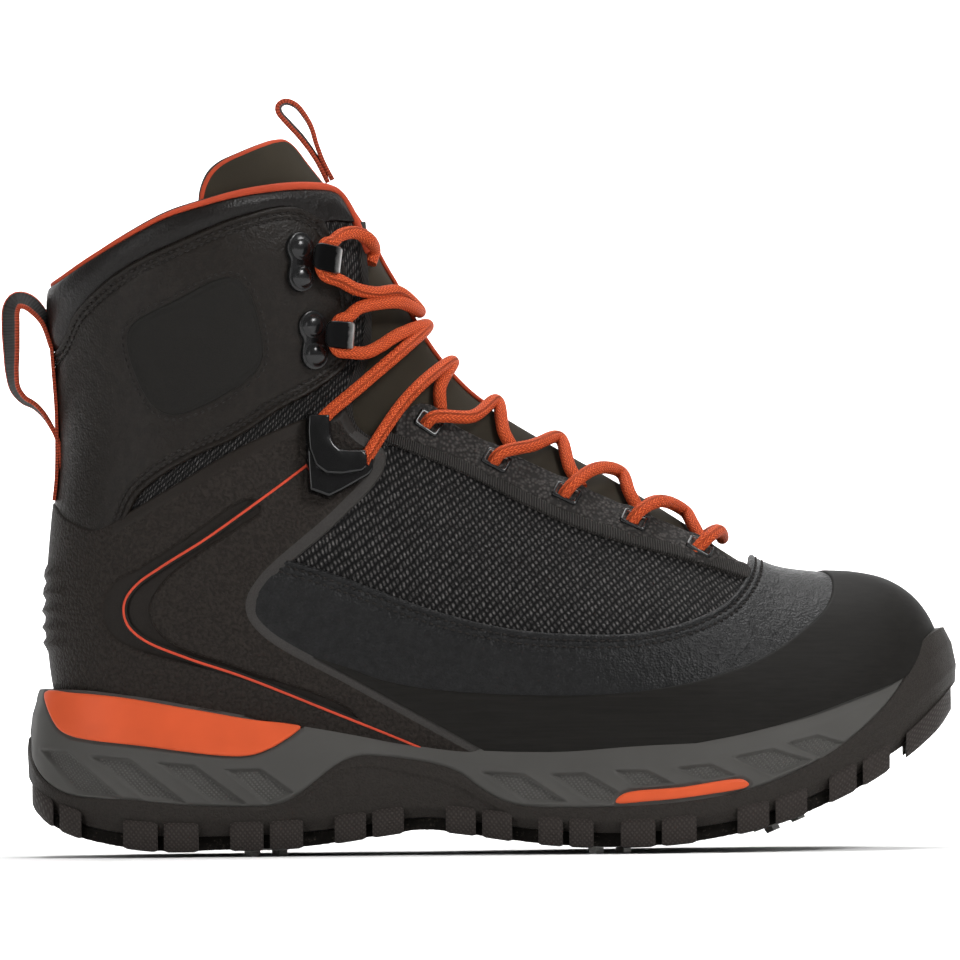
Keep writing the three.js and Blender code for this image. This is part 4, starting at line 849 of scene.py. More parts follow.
def stitches(name, chains):
    """Short rounded threads along chains of (points, normals)."""
    pitch, length, radius, sink = 2.6, 2.0, 0.46, 0.1
    parts = []
    bead = np.array([0.25, 0.8, 1.0, 0.8, 0.25])
    for points, normals in chains:
        lengths = run_lengths(points)
        for middle in np.arange(pitch / 2, lengths[-1] - pitch / 2, pitch):
            at = middle + np.linspace(-length / 2, length / 2, 5)
            path = np.stack([np.interp(at, lengths, points[:, k]) for k in range(3)], axis=1)
            up = np.stack([np.interp(at, lengths, normals[:, k]) for k in range(3)], axis=1)
            path = path + up * (radius * np.array([-1.2, 0.1, 0.35, 0.1, -1.2]) - sink)[:, None]
            parts.append(sweep(path, circle(radius, 6), up, scale=bead))
    points, faces, uv, _ = joined(parts)
    return make(name, points, faces, THREAD, uv, sharp=80, weld=False)


def chains_at(skin, name, level, height, keep=None):
    """The (points, normals) of the chains at a level, at a height; keep picks some of the points."""
    lifted, normals = lift(height, skin), skin.normals()
    found = []
    for chain in skin.lines(name, level):
        if keep is not None:
            parts, now = [], []
            for k in chain:
                if keep[k]:
                    now.append(k)
                elif now:
                    parts.append(now)
                    now = []
            parts.append(now)
        else:
            parts = [chain]
        found += [(lifted[part], normals[part]) for part in parts if len(part) > 4]
    return found


def evened(chain):
    """A chain with its small zigzags smoothed away."""
    window = 5
    points, normals = chain
    kernel = np.ones(window) / window
    padded = np.vstack([points[:1].repeat(window // 2, 0), points, points[-1:].repeat(window // 2, 0)])
    eased = np.stack([np.convolve(padded[:, k], kernel, "valid") for k in range(3)], axis=1)
    eased[0], eased[-1] = points[0], points[-1]
    return eased, normals


# Materials

class Nodes:
    """A material's node tree, with short calls for the nodes used here."""

    def __init__(self, name, color, rough, metal=0.0, sheen=0.0, specular=0.1):
        self.mat = bpy.data.materials.new(name)
        self.mat.use_nodes = True
        self.mat.diffuse_color = (*color, 1)
        self.tree = self.mat.node_tree
        self.shader = self.tree.nodes["Principled BSDF"]
        for socket, value in (
            ("Base Color", (*color, 1)), ("Roughness", rough), ("Metallic", metal),
            ("Sheen Weight", sheen), ("Sheen Roughness", 0.4), ("Specular IOR Level", specular),
        ):
            self.shader.inputs[socket].default_value = value

    def put(self, kind, inputs=(), out=0, **settings):
        """A node with its inputs linked or set; returns one of its outputs."""
        node = self.tree.nodes.new(kind)
        for key, value in settings.items():
            setattr(node, key, value)
        for socket, value in dict(inputs).items():
            if isinstance(value, bpy.types.NodeSocket):
                self.tree.links.new(value, node.inputs[socket])
            else:
                node.inputs[socket].default_value = value
        return node.outputs[out]

    def math(self, kind, a, b=0.0):
        """A sum on one or two values."""
        return self.put("ShaderNodeMath", {0: a, 1: b}, operation=kind)

    def uv(self):
        """The two surface coordinates, in millimetres."""
        split = self.tree.nodes.new("ShaderNodeSeparateXYZ")
        self.tree.links.new(self.put("ShaderNodeUVMap", uv_map="UVMap"), split.inputs[0])
        return split.outputs[0], split.outputs[1]

    def place(self, scale=(1, 1, 1)):
        """Object coordinates, stretched."""
        start = self.put("ShaderNodeTexCoord", out=3)
        return self.put("ShaderNodeVectorMath", {0: start, 1: scale}, operation="MULTIPLY")

    def noise(self, scale, detail=2.0, rough=0.5, vector=None):
        """Smooth noise; 1000 gives spots about a millimetre wide."""
        inputs = {"Scale": scale, "Detail": detail, "Roughness": rough, "Vector": vector or self.place()}
        return self.put("ShaderNodeTexNoise", inputs)

    def cells(self, scale):
        """Rounded cells: 0 in the middle of each, rising to its edge."""
        inputs = {"Scale": scale, "Vector": self.place(), "Smoothness": 0.4}
        return self.put("ShaderNodeTexVoronoi", inputs, feature="SMOOTH_F1")

    def between(self, value, low, high, to_low=0.0, to_high=1.0):
        """A value carried from one range into another and held within it."""
        inputs = {"Value": value, "From Min": low, "From Max": high, "To Min": to_low, "To Max": to_high}
        return self.put("ShaderNodeMapRange", inputs, clamp=True)

    def blend(self, share, one, other):
        """A colour between two: the first at share 0."""
        node = self.tree.nodes.new("ShaderNodeMix")
        node.data_type = "RGBA"
        for socket, value in ((0, share), (6, one), (7, other)):
            if isinstance(value, bpy.types.NodeSocket):
                self.tree.links.new(value, node.inputs[socket])
            else:
                node.inputs[socket].default_value = value if socket == 0 else (*value, 1)
        return node.outputs[2]

    def color(self, value):
        """Sets the material's colour."""
        self.tree.links.new(value, self.shader.inputs["Base Color"])

    def rough(self, value):
        """Sets its roughness."""
        self.tree.links.new(value, self.shader.inputs["Roughness"])

    def bump(self, height, millimetres, strength=1.0, under=None):
        """Sets its relief, on top of another bump where one is given."""
        inputs = {"Height": height, "Distance": millimetres / 1000, "Strength": strength}
        if under is not None:
            inputs["Normal"] = under
        normal = self.put("ShaderNodeBump", inputs)
        self.tree.links.new(normal, self.shader.inputs["Normal"])
        return normal

    def wave(self, value, pitch):
        """1 at each multiple of the pitch, 0 half way."""
        turn = self.math("MULTIPLY", value, 2 * math.pi / pitch)
        return self.between(self.math("COSINE", turn), -1, 1)


def lighter(color, by):
    """A colour made lighter, or darker where by is under 1."""
    return tuple(min(c * by, 1) for c in color)


def weave_cloth():
    """Open weave: a diagonal net of black thread over a black ground, with painted highlights on its knots."""
    # Black thread, and a pale colour that is painted highlight: glints on the knots.
    ground, glint_color = (0.0015, 0.0015, 0.0015), (0.135, 0.128, 0.125)
    m = Nodes("mesh_cloth", (0.012, 0.012, 0.012), 0.6)
    u, v = m.uv()
    pitch = 2.5
    jitter = m.between(m.noise(420, 2), 0.3, 0.7, -0.35, 0.35)
    across = m.math("MULTIPLY", v, 0.8)
    one = m.wave(m.math("ADD", m.math("ADD", u, across), jitter), pitch)
    two = m.wave(m.math("SUBTRACT", m.math("SUBTRACT", u, across), jitter), pitch)
    knots = m.math("MULTIPLY", one, two)
    fibres = m.noise(1300, 3, 0.6)
    # bright is painted highlight on the knots, broken up by the fibres; dim is the thread's own faint grey.
    bright = m.math("MULTIPLY", m.between(knots, 0.2, 0.75), m.between(fibres, 0.34, 0.66, 0.1, 1))
    dim = m.between(m.math("MULTIPLY", knots, fibres), 0.0, 0.12, 0, 0.13)
    m.color(m.blend(m.math("MAXIMUM", bright, dim), ground, glint_color))
    m.bump(m.math("ADD", knots, m.math("MULTIPLY", fibres, 0.5)), 0.8, 0.9)
    return m.mat


def leather(name, color, rough, grain=1.0, wrinkle=1.0, contrast=1.2, specular=0.16):
    """Synthetic leather: a pebbled grain under long soft wrinkles."""
    m = Nodes(name, color, rough, specular=specular)
    wrinkles = m.noise(420, 4, 0.62, vector=m.place((1, 1, 0.72)))
    pores = m.cells(1250)
    shade = m.math("ADD", m.between(wrinkles, 0.36, 0.64, 0, 0.7), m.between(pores, 0.1, 0.7, 0.3, 0))
    m.color(m.blend(shade, lighter(color, 1 / contrast), lighter(color, contrast)))
    m.rough(m.between(wrinkles, 0.3, 0.75, rough + 0.08, rough - 0.07))
    first = m.bump(wrinkles, 0.5 * wrinkle, 0.9)
    m.bump(pores, 0.14 * grain, 0.8, first)
    return m.mat


def moulded(name, color, rough, size=1.1, depth=0.1, contrast=1.12):
    """Moulded plastic or rubber with a pebbled face."""
    m = Nodes(name, color, rough)
    pebbles = m.noise(1000 / size, 2, 0.45)
    fine = m.noise(3200 / size, 2)
    m.color(m.blend(m.between(pebbles, 0.36, 0.64), lighter(color, 1 / contrast), lighter(color, contrast)))
    m.rough(m.between(fine, 0.3, 0.7, rough + 0.06, rough - 0.06))
    first = m.bump(m.between(pebbles, 0.38, 0.62), depth, 0.9)
    m.bump(fine, depth * 0.3, 0.5, first)
    return m.mat


def brushed_rubber(name, color):
    """Buffed rubber: faint long strokes."""
    m = Nodes(name, color, 0.62)
    strokes = m.noise(60, 4, 0.7, vector=m.place((0.5, 5, 16)))
    fine = m.noise(1800, 2)
    m.color(m.blend(m.between(strokes, 0.35, 0.7), lighter(color, 0.85), lighter(color, 1.3)))
    first = m.bump(strokes, 0.12, 0.5)
    m.bump(fine, 0.03, 0.5, first)
    return m.mat


def lozenges(m, pitch):
    """A field of lozenges along the surface's own coordinates: 1 in the middle of each."""
    u, v = m.uv()
    return m.math("MULTIPLY", m.wave(m.math("ADD", u, v), pitch), m.wave(m.math("SUBTRACT", u, v), pitch))


def knurled_rubber(name, color):
    """Rubber with raised diamonds."""
    m = Nodes(name, color, 0.6)
    diamonds = lozenges(m, KNURL_PITCH * math.sqrt(2))
    grit = m.noise(2200, 2)
    m.color(m.blend(diamonds, lighter(color, 0.75), lighter(color, 1.35)))
    first = m.bump(diamonds, 0.22, 0.9)
    m.bump(grit, 0.05, 0.5, first)
    return m.mat


KNURL_PITCH = 1.15
FOAM_COLOR = (0.064, 0.062, 0.058)


def foam():
    """Moulded midsole foam: even grey, satin, with fine pores."""
    m = Nodes("midsole_foam", FOAM_COLOR, 0.56)
    fine = m.noise(2400, 2)
    broad = m.noise(35, 2)
    m.color(m.blend(m.between(broad, 0.3, 0.7), lighter(FOAM_COLOR, 0.94), lighter(FOAM_COLOR, 1.07)))
    m.bump(fine, 0.045, 0.5)
    return m.mat


def knurled_foam():
    """The midsole's dents: fine lozenges in the same foam."""
    m = Nodes("dent_foam", FOAM_COLOR, 0.56)
    raised = lozenges(m, KNURL_PITCH * 1.41)
    m.color(m.blend(raised, lighter(FOAM_COLOR, 0.85), lighter(FOAM_COLOR, 1.45)))
    m.bump(raised, 0.25, 0.9)
    return m.mat


def satin(name, color, rough=0.42):
    """Smooth coloured plastic with a faint unevenness."""
    m = Nodes(name, color, rough)
    broad = m.noise(60, 2)
    m.color(m.blend(m.between(broad, 0.3, 0.7), lighter(color, 0.93), lighter(color, 1.06)))
    m.bump(m.noise(1500, 2), 0.02, 0.4)
    return m.mat


def grosgrain():
    """Ribbed tape: ribs across its length."""
    color = (0.036, 0.0335, 0.0315)
    m = Nodes("grosgrain_tape", color, 0.72)
    u, _ = m.uv()
    ribs = m.wave(u, 0.95)
    threads = m.noise(2600, 2)
    # Painted light and shade on the ribs: their crests lighter, the grooves between them darker.
    m.color(m.blend(ribs, lighter(color, 0.5), lighter(color, 1.35)))
    first = m.bump(ribs, 0.7, 0.9)
    m.bump(threads, 0.05, 0.6, first)
    return m.mat


def pebbled_webbing():
    """Dark grey webbing with small round pebbles."""
    color = (0.037, 0.0335, 0.0315)
    m = Nodes("eyestay_webbing", color, 0.62)
    pebbles = m.cells(800)
    # Painted light and shade on the pebbles: their tops lighter, the hollows between them darker.
    m.color(m.blend(m.between(pebbles, 0.15, 0.6), lighter(color, 1.5), lighter(color, 0.4)))
    m.bump(m.between(pebbles, 0.1, 0.65, 1, 0), 0.45, 0.9)
    return m.mat


def smooth_cloth(name, color, scale=900, depth=0.07):
    """Close-woven cloth: fine crossed threads and a soft bloom."""
    m = Nodes(name, color, 0.75, sheen=0.03)
    warp = m.noise(scale, 2, vector=m.place((1, 1, 4)))
    weft = m.noise(scale, 2, vector=m.place((4, 4, 1)))
    both = m.math("ADD", warp, weft)
    broad = m.noise(30, 2)
    m.color(m.blend(m.between(broad, 0.3, 0.7), lighter(color, 0.85), lighter(color, 1.2)))
    m.bump(both, depth, 0.7)
    return m.mat


def felt():
    """Pressed black felt with loose pale fibres."""
    m = Nodes("black_felt", (0.008, 0.007, 0.006), 0.95, sheen=0.1)
    fibres = m.noise(700, 6, 0.75)
    tufts = m.noise(220, 3)
    m.color(m.blend(m.between(fibres, 0.56, 0.72), (0.006, 0.0052, 0.0042), (0.055, 0.046, 0.036)))
    first = m.bump(tufts, 0.7, 0.8)
    m.bump(fibres, 0.5, 0.9, first)
    return m.mat


def gloss(name, color, rough):
    """Glossy black paint or plastic with faint handling marks."""
    m = Nodes(name, color, rough, specular=0.4)
    m.rough(m.between(m.noise(300, 4), 0.35, 0.7, rough, rough + 0.08))
    m.bump(m.noise(160, 1), 0.006, 0.3)
    return m.mat


def worn_steel():
    """Bright steel, rubbed and scratched."""
    m = Nodes("bright_steel", (0.42, 0.41, 0.4), 0.34, metal=1.0)
    marks = m.noise(500, 4, 0.7, vector=m.place((1, 1, 4)))
    m.rough(m.between(marks, 0.3, 0.75, 0.26, 0.5))
    m.color(m.blend(m.between(marks, 0.35, 0.7), (0.3, 0.29, 0.28), (0.55, 0.54, 0.52)))
    m.bump(marks, 0.03, 0.4)
    return m.mat


def hook_paint():
    """Black paint, worn through to bright steel on the hook's bend, by the length along the hook."""
    wear_start, worn_from, worn_to, wear_end = 9.5, 12.5, 15.8, 19.2
    m = Nodes("hook_worn_paint", (0.01, 0.01, 0.01), 0.28, metal=1.0)
    u, _ = m.uv()
    marks = m.noise(500, 3, 0.6)
    place = m.math("ADD", u, m.between(marks, 0.3, 0.7, -0.4, 0.4))
    fading = m.between(place, worn_to, wear_end, 1, 0)
    worn = m.math("MULTIPLY", m.between(place, wear_start, worn_from), fading)
    m.color(m.blend(worn, (0.012, 0.012, 0.0125), (0.62, 0.61, 0.6)))
    m.bump(marks, 0.02, 0.3)
    return m.mat


def braid():
    """Round braided lace: strands that cross in a herringbone, with long parallel stitches."""
    # The strands are the braid's own pattern; their light and shade are painted: highlight on the strands'
    # crests, shade in the gaps between them and in the furrows between the stitches.
    dark, bright = (0.36, 0.04, 0.012), (1.0, 0.2, 0.06)
    m = Nodes("lace_braid", (0.56, 0.088, 0.016), 0.62)
    u, v = m.uv()
    strand = 0.95
    slope = m.math("MULTIPLY", v, 1.9)
    one = m.wave(m.math("ADD", u, slope), strand * 1.6)
    two = m.wave(m.math("SUBTRACT", u, slope), strand * 1.6)
    around = m.math("SINE", m.math("MULTIPLY", v, 2 * math.pi / (strand * 1.75)))
    side = m.math("GREATER_THAN", around, 0.0)
    other = m.math("MULTIPLY", two, m.math("SUBTRACT", 1.0, side))
    chevron = m.math("ADD", m.math("MULTIPLY", one, side), other)
    valley = m.math("ABSOLUTE", around)
    # Painted light and shade: lighter on the strands, darker in the gaps and the furrows.
    high = m.math("MULTIPLY", m.between(chevron, 0.18, 0.8), m.between(valley, 0.0, 0.45, 0.35, 1))
    fibres = m.noise(2400, 2)
    m.color(m.blend(m.math("MULTIPLY", high, m.between(fibres, 0.2, 0.75)), dark, bright))
    first = m.bump(high, 0.4, 0.9)
    m.bump(fibres, 0.06, 0.6, first)
    return m.mat


def webbing(name, color):
    """Woven tape: close ribs across and fine threads along."""
    m = Nodes(name, color, 0.7)
    u, v = m.uv()
    ribs = m.wave(u, 1.0)
    threads = m.wave(v, 0.7)
    both = m.math("ADD", ribs, m.math("MULTIPLY", threads, 0.4))
    m.color(m.blend(m.between(both, 0.2, 1.3), lighter(color, 0.55), lighter(color, 1.3)))
    m.bump(both, 0.16, 0.8)
    return m.mat


CLOTH = weave_cloth()
LINING = smooth_cloth("lining_cloth", (0.02, 0.02, 0.02))
PANEL = leather(
    "panel_leather", (0.0088, 0.0066, 0.005), 0.42, grain=1.3, wrinkle=0.9, contrast=1.3, specular=0.17,
)
COLLAR = leather("collar_leather", (0.003, 0.0018, 0.0012), 0.4, wrinkle=0.7, contrast=1.2, specular=0.24)
BAND = leather(
    "band_leather", (0.0052, 0.0052, 0.0054), 0.4, grain=2.2, wrinkle=1.4, contrast=1.7, specular=0.2,
)
CAGE = moulded("cage_plastic", (0.0168, 0.0136, 0.0115), 0.55, depth=0.3, contrast=1.3)
CAGE_SMOOTH = moulded("cage_channel", (0.0135, 0.011, 0.0092), 0.5, size=0.5, depth=0.02)
CAGE_EDGE = moulded("cage_edge", (0.0165, 0.0135, 0.0115), 0.48, size=0.5, depth=0.02)
# Paler than the cage: painted highlight along the cage's thin lip.
CAGE_LIP_HIGHLIGHT = moulded("cage_lip_painted_highlight", (0.035, 0.0325, 0.0305), 0.5, size=0.5, depth=0.03)
RAND = brushed_rubber("rand_rubber", (0.009, 0.0083, 0.0073))
PATCH_RUBBER = moulded("patch_rubber", (0.0115, 0.0107, 0.0096), 0.62, size=0.4, depth=0.02)
RUBBER = moulded("sole_rubber", (0.024, 0.0208, 0.0184), 0.6, size=0.7, depth=0.16)
LUG_RUBBER = knurled_rubber("lug_rubber", (0.032, 0.0268, 0.0242))
FOAM = foam()
DENT = knurled_foam()
ORANGE = satin("orange_insert", (0.58, 0.088, 0.03))
CORD_ORANGE = satin("orange_line", (0.5, 0.06, 0.03), 0.5)
PIPING = smooth_cloth("piping_cloth", (0.37, 0.052, 0.022), 1400, 0.1)
THREAD = smooth_cloth("black_thread", (0.02, 0.018, 0.0168), 1800, 0.05)
GROSGRAIN = grosgrain()
EYESTAY = pebbled_webbing()
TONGUE = smooth_cloth("tongue_cloth", (0.025, 0.0205, 0.0138), 1100, 0.05)
FELT = felt()
FITTING = gloss("fitting_black", (0.006, 0.006, 0.0062), 0.2)
PLASTIC = gloss("lock_black", (0.002, 0.002, 0.0021), 0.12)
STEEL = worn_steel()
HOOK_PAINT = hook_paint()
LACE_BRAID = braid()
WEBBING_BLACK = webbing("webbing_black", (0.011, 0.0102, 0.0095))
WEBBING_ORANGE = webbing("webbing_orange", (0.33, 0.052, 0.024))


# The upper

def form_grid(about):
    """The whole form as a skin; its open seam lies across from the angle it is about."""
    t = np.concatenate([np.linspace(0, 1.5, 26)[:-1], np.linspace(1.5, LAST_SECTION, ROWS)])
    turn = about + np.linspace(-math.pi, math.pi, TURNS + 1)
    along, across = grid_lengths(form_point(t[:, None], turn[None, :]))
    across -= across[:, [len(turn) // 2]]
    return Skin(form_point, form_normal, t, turn, (along, across))


FRONT = form_grid(math.pi)
BACK = form_grid(0)

# The outlines closed round the parts that they bound, with corners well off the boot
INSIDE_COLLAR = outline(
    on_upper(COLLAR_EDGE), on_upper([(0.369, 0.864), (1.2, 0.864)]), [(400, -60), (-60, -60)],
)
THROAT = outline(
    on_upper(THROAT_EDGE), on_upper([(0.79, 0.4), (0.79, 1.5), (0.369, 1.5), (0.369, 0.864)]),
)
CAGE_OUTLINE = outline(on_upper(CAGE_TOP), on_upper(CAGE_FRONT), [(200, -60), (-60, -60)])
RAND_OUTLINE = outline(on_upper(RAND_EDGE), on_upper([(0.83, 0.4), (1.1, 0.4), (1.1, -0.5), (0.2, -0.5)]))
BAND_OUTLINE = outline(on_upper(BAND_EDGE), on_upper([(0.777, 0.4), (1.1, 0.4), (1.1, -0.3), (0.2, -0.3)]))
PANEL_OUTLINE = outline(on_upper(PANEL_TOP), on_upper(PANEL_FRONT), on_upper([(0.1, 0.27), (-0.03, 0.27)]))


def rounded(d, height, radius, edge=0.25):
    """Height of a sheet at a distance from its edge, with the edge rounded over."""
    f = np.clip(d / radius, 0, 1)
    return height * (edge + (1 - edge) * np.sqrt(1 - (1 - f) ** 2))


ROUND_CUTS = (0.06, 0.2, 0.5, 0.8, 1.3)


def ridge_line(d, at, width, height):
    """Height of a soft ridge that runs at a distance from the edge; a negative one is a groove."""
    return height * np.exp(-(((d - at) / width) ** 2))


RIM_ROWS = np.linspace(0, len(SOLE["x"]) - 1, 200)
RIM_X = smooth(SOLE["x"], RIM_ROWS) * SOLE_LENGTH
RIM_Z = smooth(SOLE["rim"], RIM_ROWS) * SOLE_HEIGHT
UNDER = 2.5  # how far the overlays go on below the sole's rim
LAP = 1.5  # and how far under the overlay that lies on them


def above_rim(skin, low):
    """Keeps what lies over the sole's rim, or over a level counted from it."""
    p = skin.points()
    skin.fields["rim"] = p[:, 2] - np.interp(p[:, 0], RIM_X, RIM_Z)
    return skin.trim("rim", low)


def make_upper_shell():
    """The upper's cloth and its lining, open at the collar and at the throat."""
    skin = FRONT.copy().measure("collar", INSIDE_COLLAR).trim("collar", 1.0).clear_of("throat", THROAT)
    height = -0.25 * step_up(-skin.fields["throat"], -0.6, 0)
    upper = shell("upper_shell", skin, height, [CLOTH, LINING], foot=-WALL, lining=1)
    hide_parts("upper")


def make_throat_binding():
    """Ribbed tape folded over the throat's edge."""
    width = 3.6
    skin = FRONT.copy().measure("throat", THROAT)
    skin.fields["edge"] = -skin.fields["throat"]
    below = outline(on_upper([(0.2, 0.895), (0.6, 0.895), (0.6, 0.5), (0.372, 0.478), (0.3, 0.478)]))
    skin.trim("edge", 0.0, width).measure("part", below).trim("part", 0.0)
    skin.cuts("edge", (0.12, 0.4, 0.9, 2.7, 3.2, 3.48))
    d = skin.fields["edge"]
    height = 0.1 + rounded(np.minimum(d, width - d), 0.8, 0.9)
    shell("throat_tape", skin, height, GROSGRAIN, foot=-0.4)


def make_collar_band():
    """Padded leather between the ankle panel and the collar's piping."""
    piping, crown, width = 1.5, 2.1, 9
    skin = BACK.copy().measure("collar", INSIDE_COLLAR).trim("collar", piping)
    skin.clear_of("seam", PANEL_OUTLINE, 1.2)
    above = on_upper([(-0.05, 0.6), (0.3, 0.6), (0.318, 0.915), (0.37, 0.93), (0.37, 1.2), (-0.05, 1.2)])
    skin.measure("part", outline(above)).trim("part", 0.0)
    skin.cuts("collar", (1.8, 2.4, 3.4)).cuts("seam", (0.4, 1.2, 2.4))
    f = skin.fields
    nearest = np.minimum(np.minimum(f["collar"] - piping, f["seam"] + 0.4), f["part"] + 1)
    height = 0.35 + crown * np.sqrt(np.clip(1 - (1 - np.clip(nearest / width, 0, 1)) ** 2, 0, 1))
    shell("collar_padding", skin, height, COLLAR, foot=-0.3)


def seamed(skin, name, seams, roll):
    """Height of a thin overlay with a raised edge and a groove at each seam, and the seams' chains."""
    d = skin.fields[name]
    height = GAP + rounded(d, PANEL_THICKNESS, 0.9) + ridge_line(d, 1.0, 0.8, roll)
    chains = []
    for seam in seams:
        height += ridge_line(d, seam, 0.5, -0.45)
        chains += chains_at(skin, name, seam, GAP + PANEL_THICKNESS - 0.25)
    return height, chains


def make_ankle_panel():
    """The ankle's leather, with its raised and twice stitched edge."""
    skin = BACK.copy().measure("panel", PANEL_OUTLINE).trim("panel", 0.0)
    skin.clear_of("cage", CAGE_OUTLINE, LAP).clear_of("throat", THROAT, -1.0)
    skin.cuts("panel", (0.12, 0.4, 0.9, 1.5, 2.0, 2.5, 3.0, 3.8, 4.3, 4.8))
    height, seams = seamed(skin, "panel", (2.5, 4.3), 0.5)
    height += 0.45 * step_up(skin.fields["panel"], 4.6, 14)
    panel = shell("ankle_leather", skin, height, PANEL)
    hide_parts("ankle_panel")
    stitches("ankle_stitches", seams)


def make_patches():
    """The bare rubber patch on each side of the ankle, and the stitches round it."""
    base = BACK.copy().measure("patch", curve(on_upper(PATCH), closed=True))
    base.trim("patch", -3.4)
    for name, side in SIDES.items():
        skin = base.copy()
        skin.select(np.sign(skin.fields["b"]) == side)
        skin.cuts("patch", (-2.4, -1.6, -0.9, -0.3, 0.0, 0.15, 0.5, 1.0, 1.6, 2.4))
        seams = chains_at(skin, "patch", -1.6, GAP + PANEL_THICKNESS + 0.42)
        stitches(f"patch_stitches_{name}", seams)
        skin.trim("patch", 0.0)
        d = skin.fields["patch"]
        height = GAP + PANEL_THICKNESS + 0.3 + rounded(d, 0.9, 1.0) + ridge_line(d, 1.6, 0.5, -0.3)
        patch = shell(f"ankle_patch_rubber_{name}", skin, height, PATCH_RUBBER, foot=GAP + 0.8)
        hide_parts(f"ankle_patch_{name}")


def make_cage():
    """The heel's moulded cage: a sunk channel, a thin lip along its free edges and ribs round the heel."""
    channel_depth, rib_height, lip_width = 1.3, 1.5, 4.2
    skin = above_rim(BACK.copy().measure("cage", CAGE_OUTLINE).trim("cage", 0.0), -UNDER)
    skin.measure("channel", curve(in_photo(CHANNEL), closed=True))
    skin.cuts("cage", ROUND_CUTS + (2.2, 3.2, lip_width))
    skin.cuts("channel", (-0.5, 0.0, 0.4, 0.9))
    f = skin.fields
    p = skin.points()
    lip = step_up(p[:, 0], 24, 40)
    on_top = step_up(p[:, 2] - 0.53 * p[:, 0], 82, 88)
    d = f["cage"]
    height = GAP + rounded(d, CAGE_THICKNESS, 1.0, 0.35)
    height -= lip * (CAGE_THICKNESS - 0.5) * (1 - step_up(d, 0.2, 4.4)) * 0.75
    height -= channel_depth * step_up(f["channel"], -0.5, 0.9)
    fade = 1 - step_up(p[:, 0], 11, 17)
    for z in in_photo([(RIB_PIXEL, y) for y in HEEL_RIBS])[:, 1]:
        height += fade * ridge_line(p[:, 2], z, 1.5, rib_height)
    channel, high = skin.mean(f["channel"]), skin.mean(on_top)
    edge = skin.mean(np.where(lip < 0.4, d * 10, d))
    # The pale slot is painted highlight: the lip's faces get a lighter material than the cage; the channel and
    # the lip over the cage's top keep their own tones.
    face, sunk, pale, bevel = 0, 1, 2, 3
    slots = np.where(channel > 0.3, sunk, np.where(edge < lip_width, pale, face))
    slots = np.where((channel > -0.5) & (channel < 0.3) & (slots == pale), face, slots)
    slots = np.where((slots == pale) & (high > 0.5), bevel, slots)
    mats = [CAGE, CAGE_SMOOTH, CAGE_LIP_HIGHLIGHT, CAGE_EDGE]
    cage = shell("cage_moulding", skin, height, mats, foot=-0.1, slots=slots)
    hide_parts("heel_cage")


def surface_path(points, side, height):
    """A smooth line of side-view points laid on the form at a height: its points and normals."""
    line = curve(points, step=0.8)
    t, turn = find_on_form(line, side)
    normal = form_normal(t, turn)
    return form_point(t, turn) + normal * height, normal


def make_cage_lines():
    """The thin orange line along the cage, in its flat bed."""
    for name, side in SIDES.items():
        path, normal = surface_path(in_photo(CAGE_LINE), side, GAP + CAGE_THICKNESS - 0.1)
        points, faces, uv = sweep(path, circle(0.5, 10, 0.8), normal)
        make(f"cage_line_{name}", points, faces, CORD_ORANGE, uv)
        path, normal = surface_path(in_photo(CAGE_LINE), side, GAP + CAGE_THICKNESS - 0.3)
        points, faces, uv = sweep(path, circle(1.15, 10, 0.35), normal)
        make(f"cage_line_bed_{name}", points, faces, CAGE_SMOOTH, uv)


def make_rand():
    """The toe's rubber rand."""
    skin = above_rim(FRONT.copy().measure("rand", RAND_OUTLINE).trim("rand", 0.0), -UNDER)
    skin.clear_of("cage", CAGE_OUTLINE, LAP).cuts("rand", ROUND_CUTS)
    height = GAP + rounded(skin.fields["rand"], RAND_THICKNESS, 1.1, 0.3)
    rand = shell("toe_rubber", skin, height, RAND, foot=-0.1)
    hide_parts("toe_rand")


def make_band():
    """The leather band round the vamp, above the rand."""
    skin = above_rim(FRONT.copy().measure("band", BAND_OUTLINE).trim("band", 0.0), 0.0)
    skin.clear_of("rand", RAND_OUTLINE, LAP).clear_of("cage", CAGE_OUTLINE, LAP)
    skin.cuts("band", (0.12, 0.4, 0.9, 1.5, 1.9, 2.4, 2.9, 3.5, 4.1, 4.7))
    height, seams = seamed(skin, "band", (2.4, 4.7), 0.25)
    band = shell("vamp_leather", skin, height, BAND)
    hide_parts("vamp_band")
    stitches("vamp_stitches", seams)


def half_front(side, name, shape):
    """The front's skin on one side of the boot, cut to an outline and to the vamp band."""
    skin = FRONT.copy()
    skin.select(side * (math.pi - skin.fields["b"]) > -0.02)
    return skin.measure(name, shape).trim(name, 0.0).clear_of("band", BAND_OUTLINE, 1.0)


def make_eyestays():
    """Pebbled webbing that stands up round each eyelet, and the ribbed tape along its lower edge."""
    low = curve(on_upper(EYESTAY_LOW))
    whole = outline(low[::-1], on_upper(THROAT_EDGE[6:16]))
    tape = outline(low[::-1], low + (1.7, 3.1))
    for name, side in SIDES.items():
        skin = half_front(side, "stay", whole).cuts("stay", ROUND_CUTS)
        scallops = np.zeros(len(skin.fields["a"]))
        p = skin.points()
        for x, rise, _ in EYELETS:
            middle = on_form((x, rise), side, 0)
            scallops += np.exp(-((np.linalg.norm(p - middle, axis=1) / 8.5) ** 4))
        height = GAP + rounded(skin.fields["stay"], 0.8, 0.9)
        height += 0.8 * step_up(np.clip(scallops, 0, 1), 0.35, 0.6)
        stay = shell(f"eyestay_strip_{name}", skin, height, EYESTAY)
        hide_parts(f"eyestay_{name}")
        skin = half_front(side, "tape", tape).cuts("tape", (0.1, 0.3, 0.7))
        height = GAP + 0.9 + rounded(skin.fields["tape"], 0.6, 0.7)
        shell(f"eyestay_tape_{name}", skin, height, GROSGRAIN, foot=0.4)


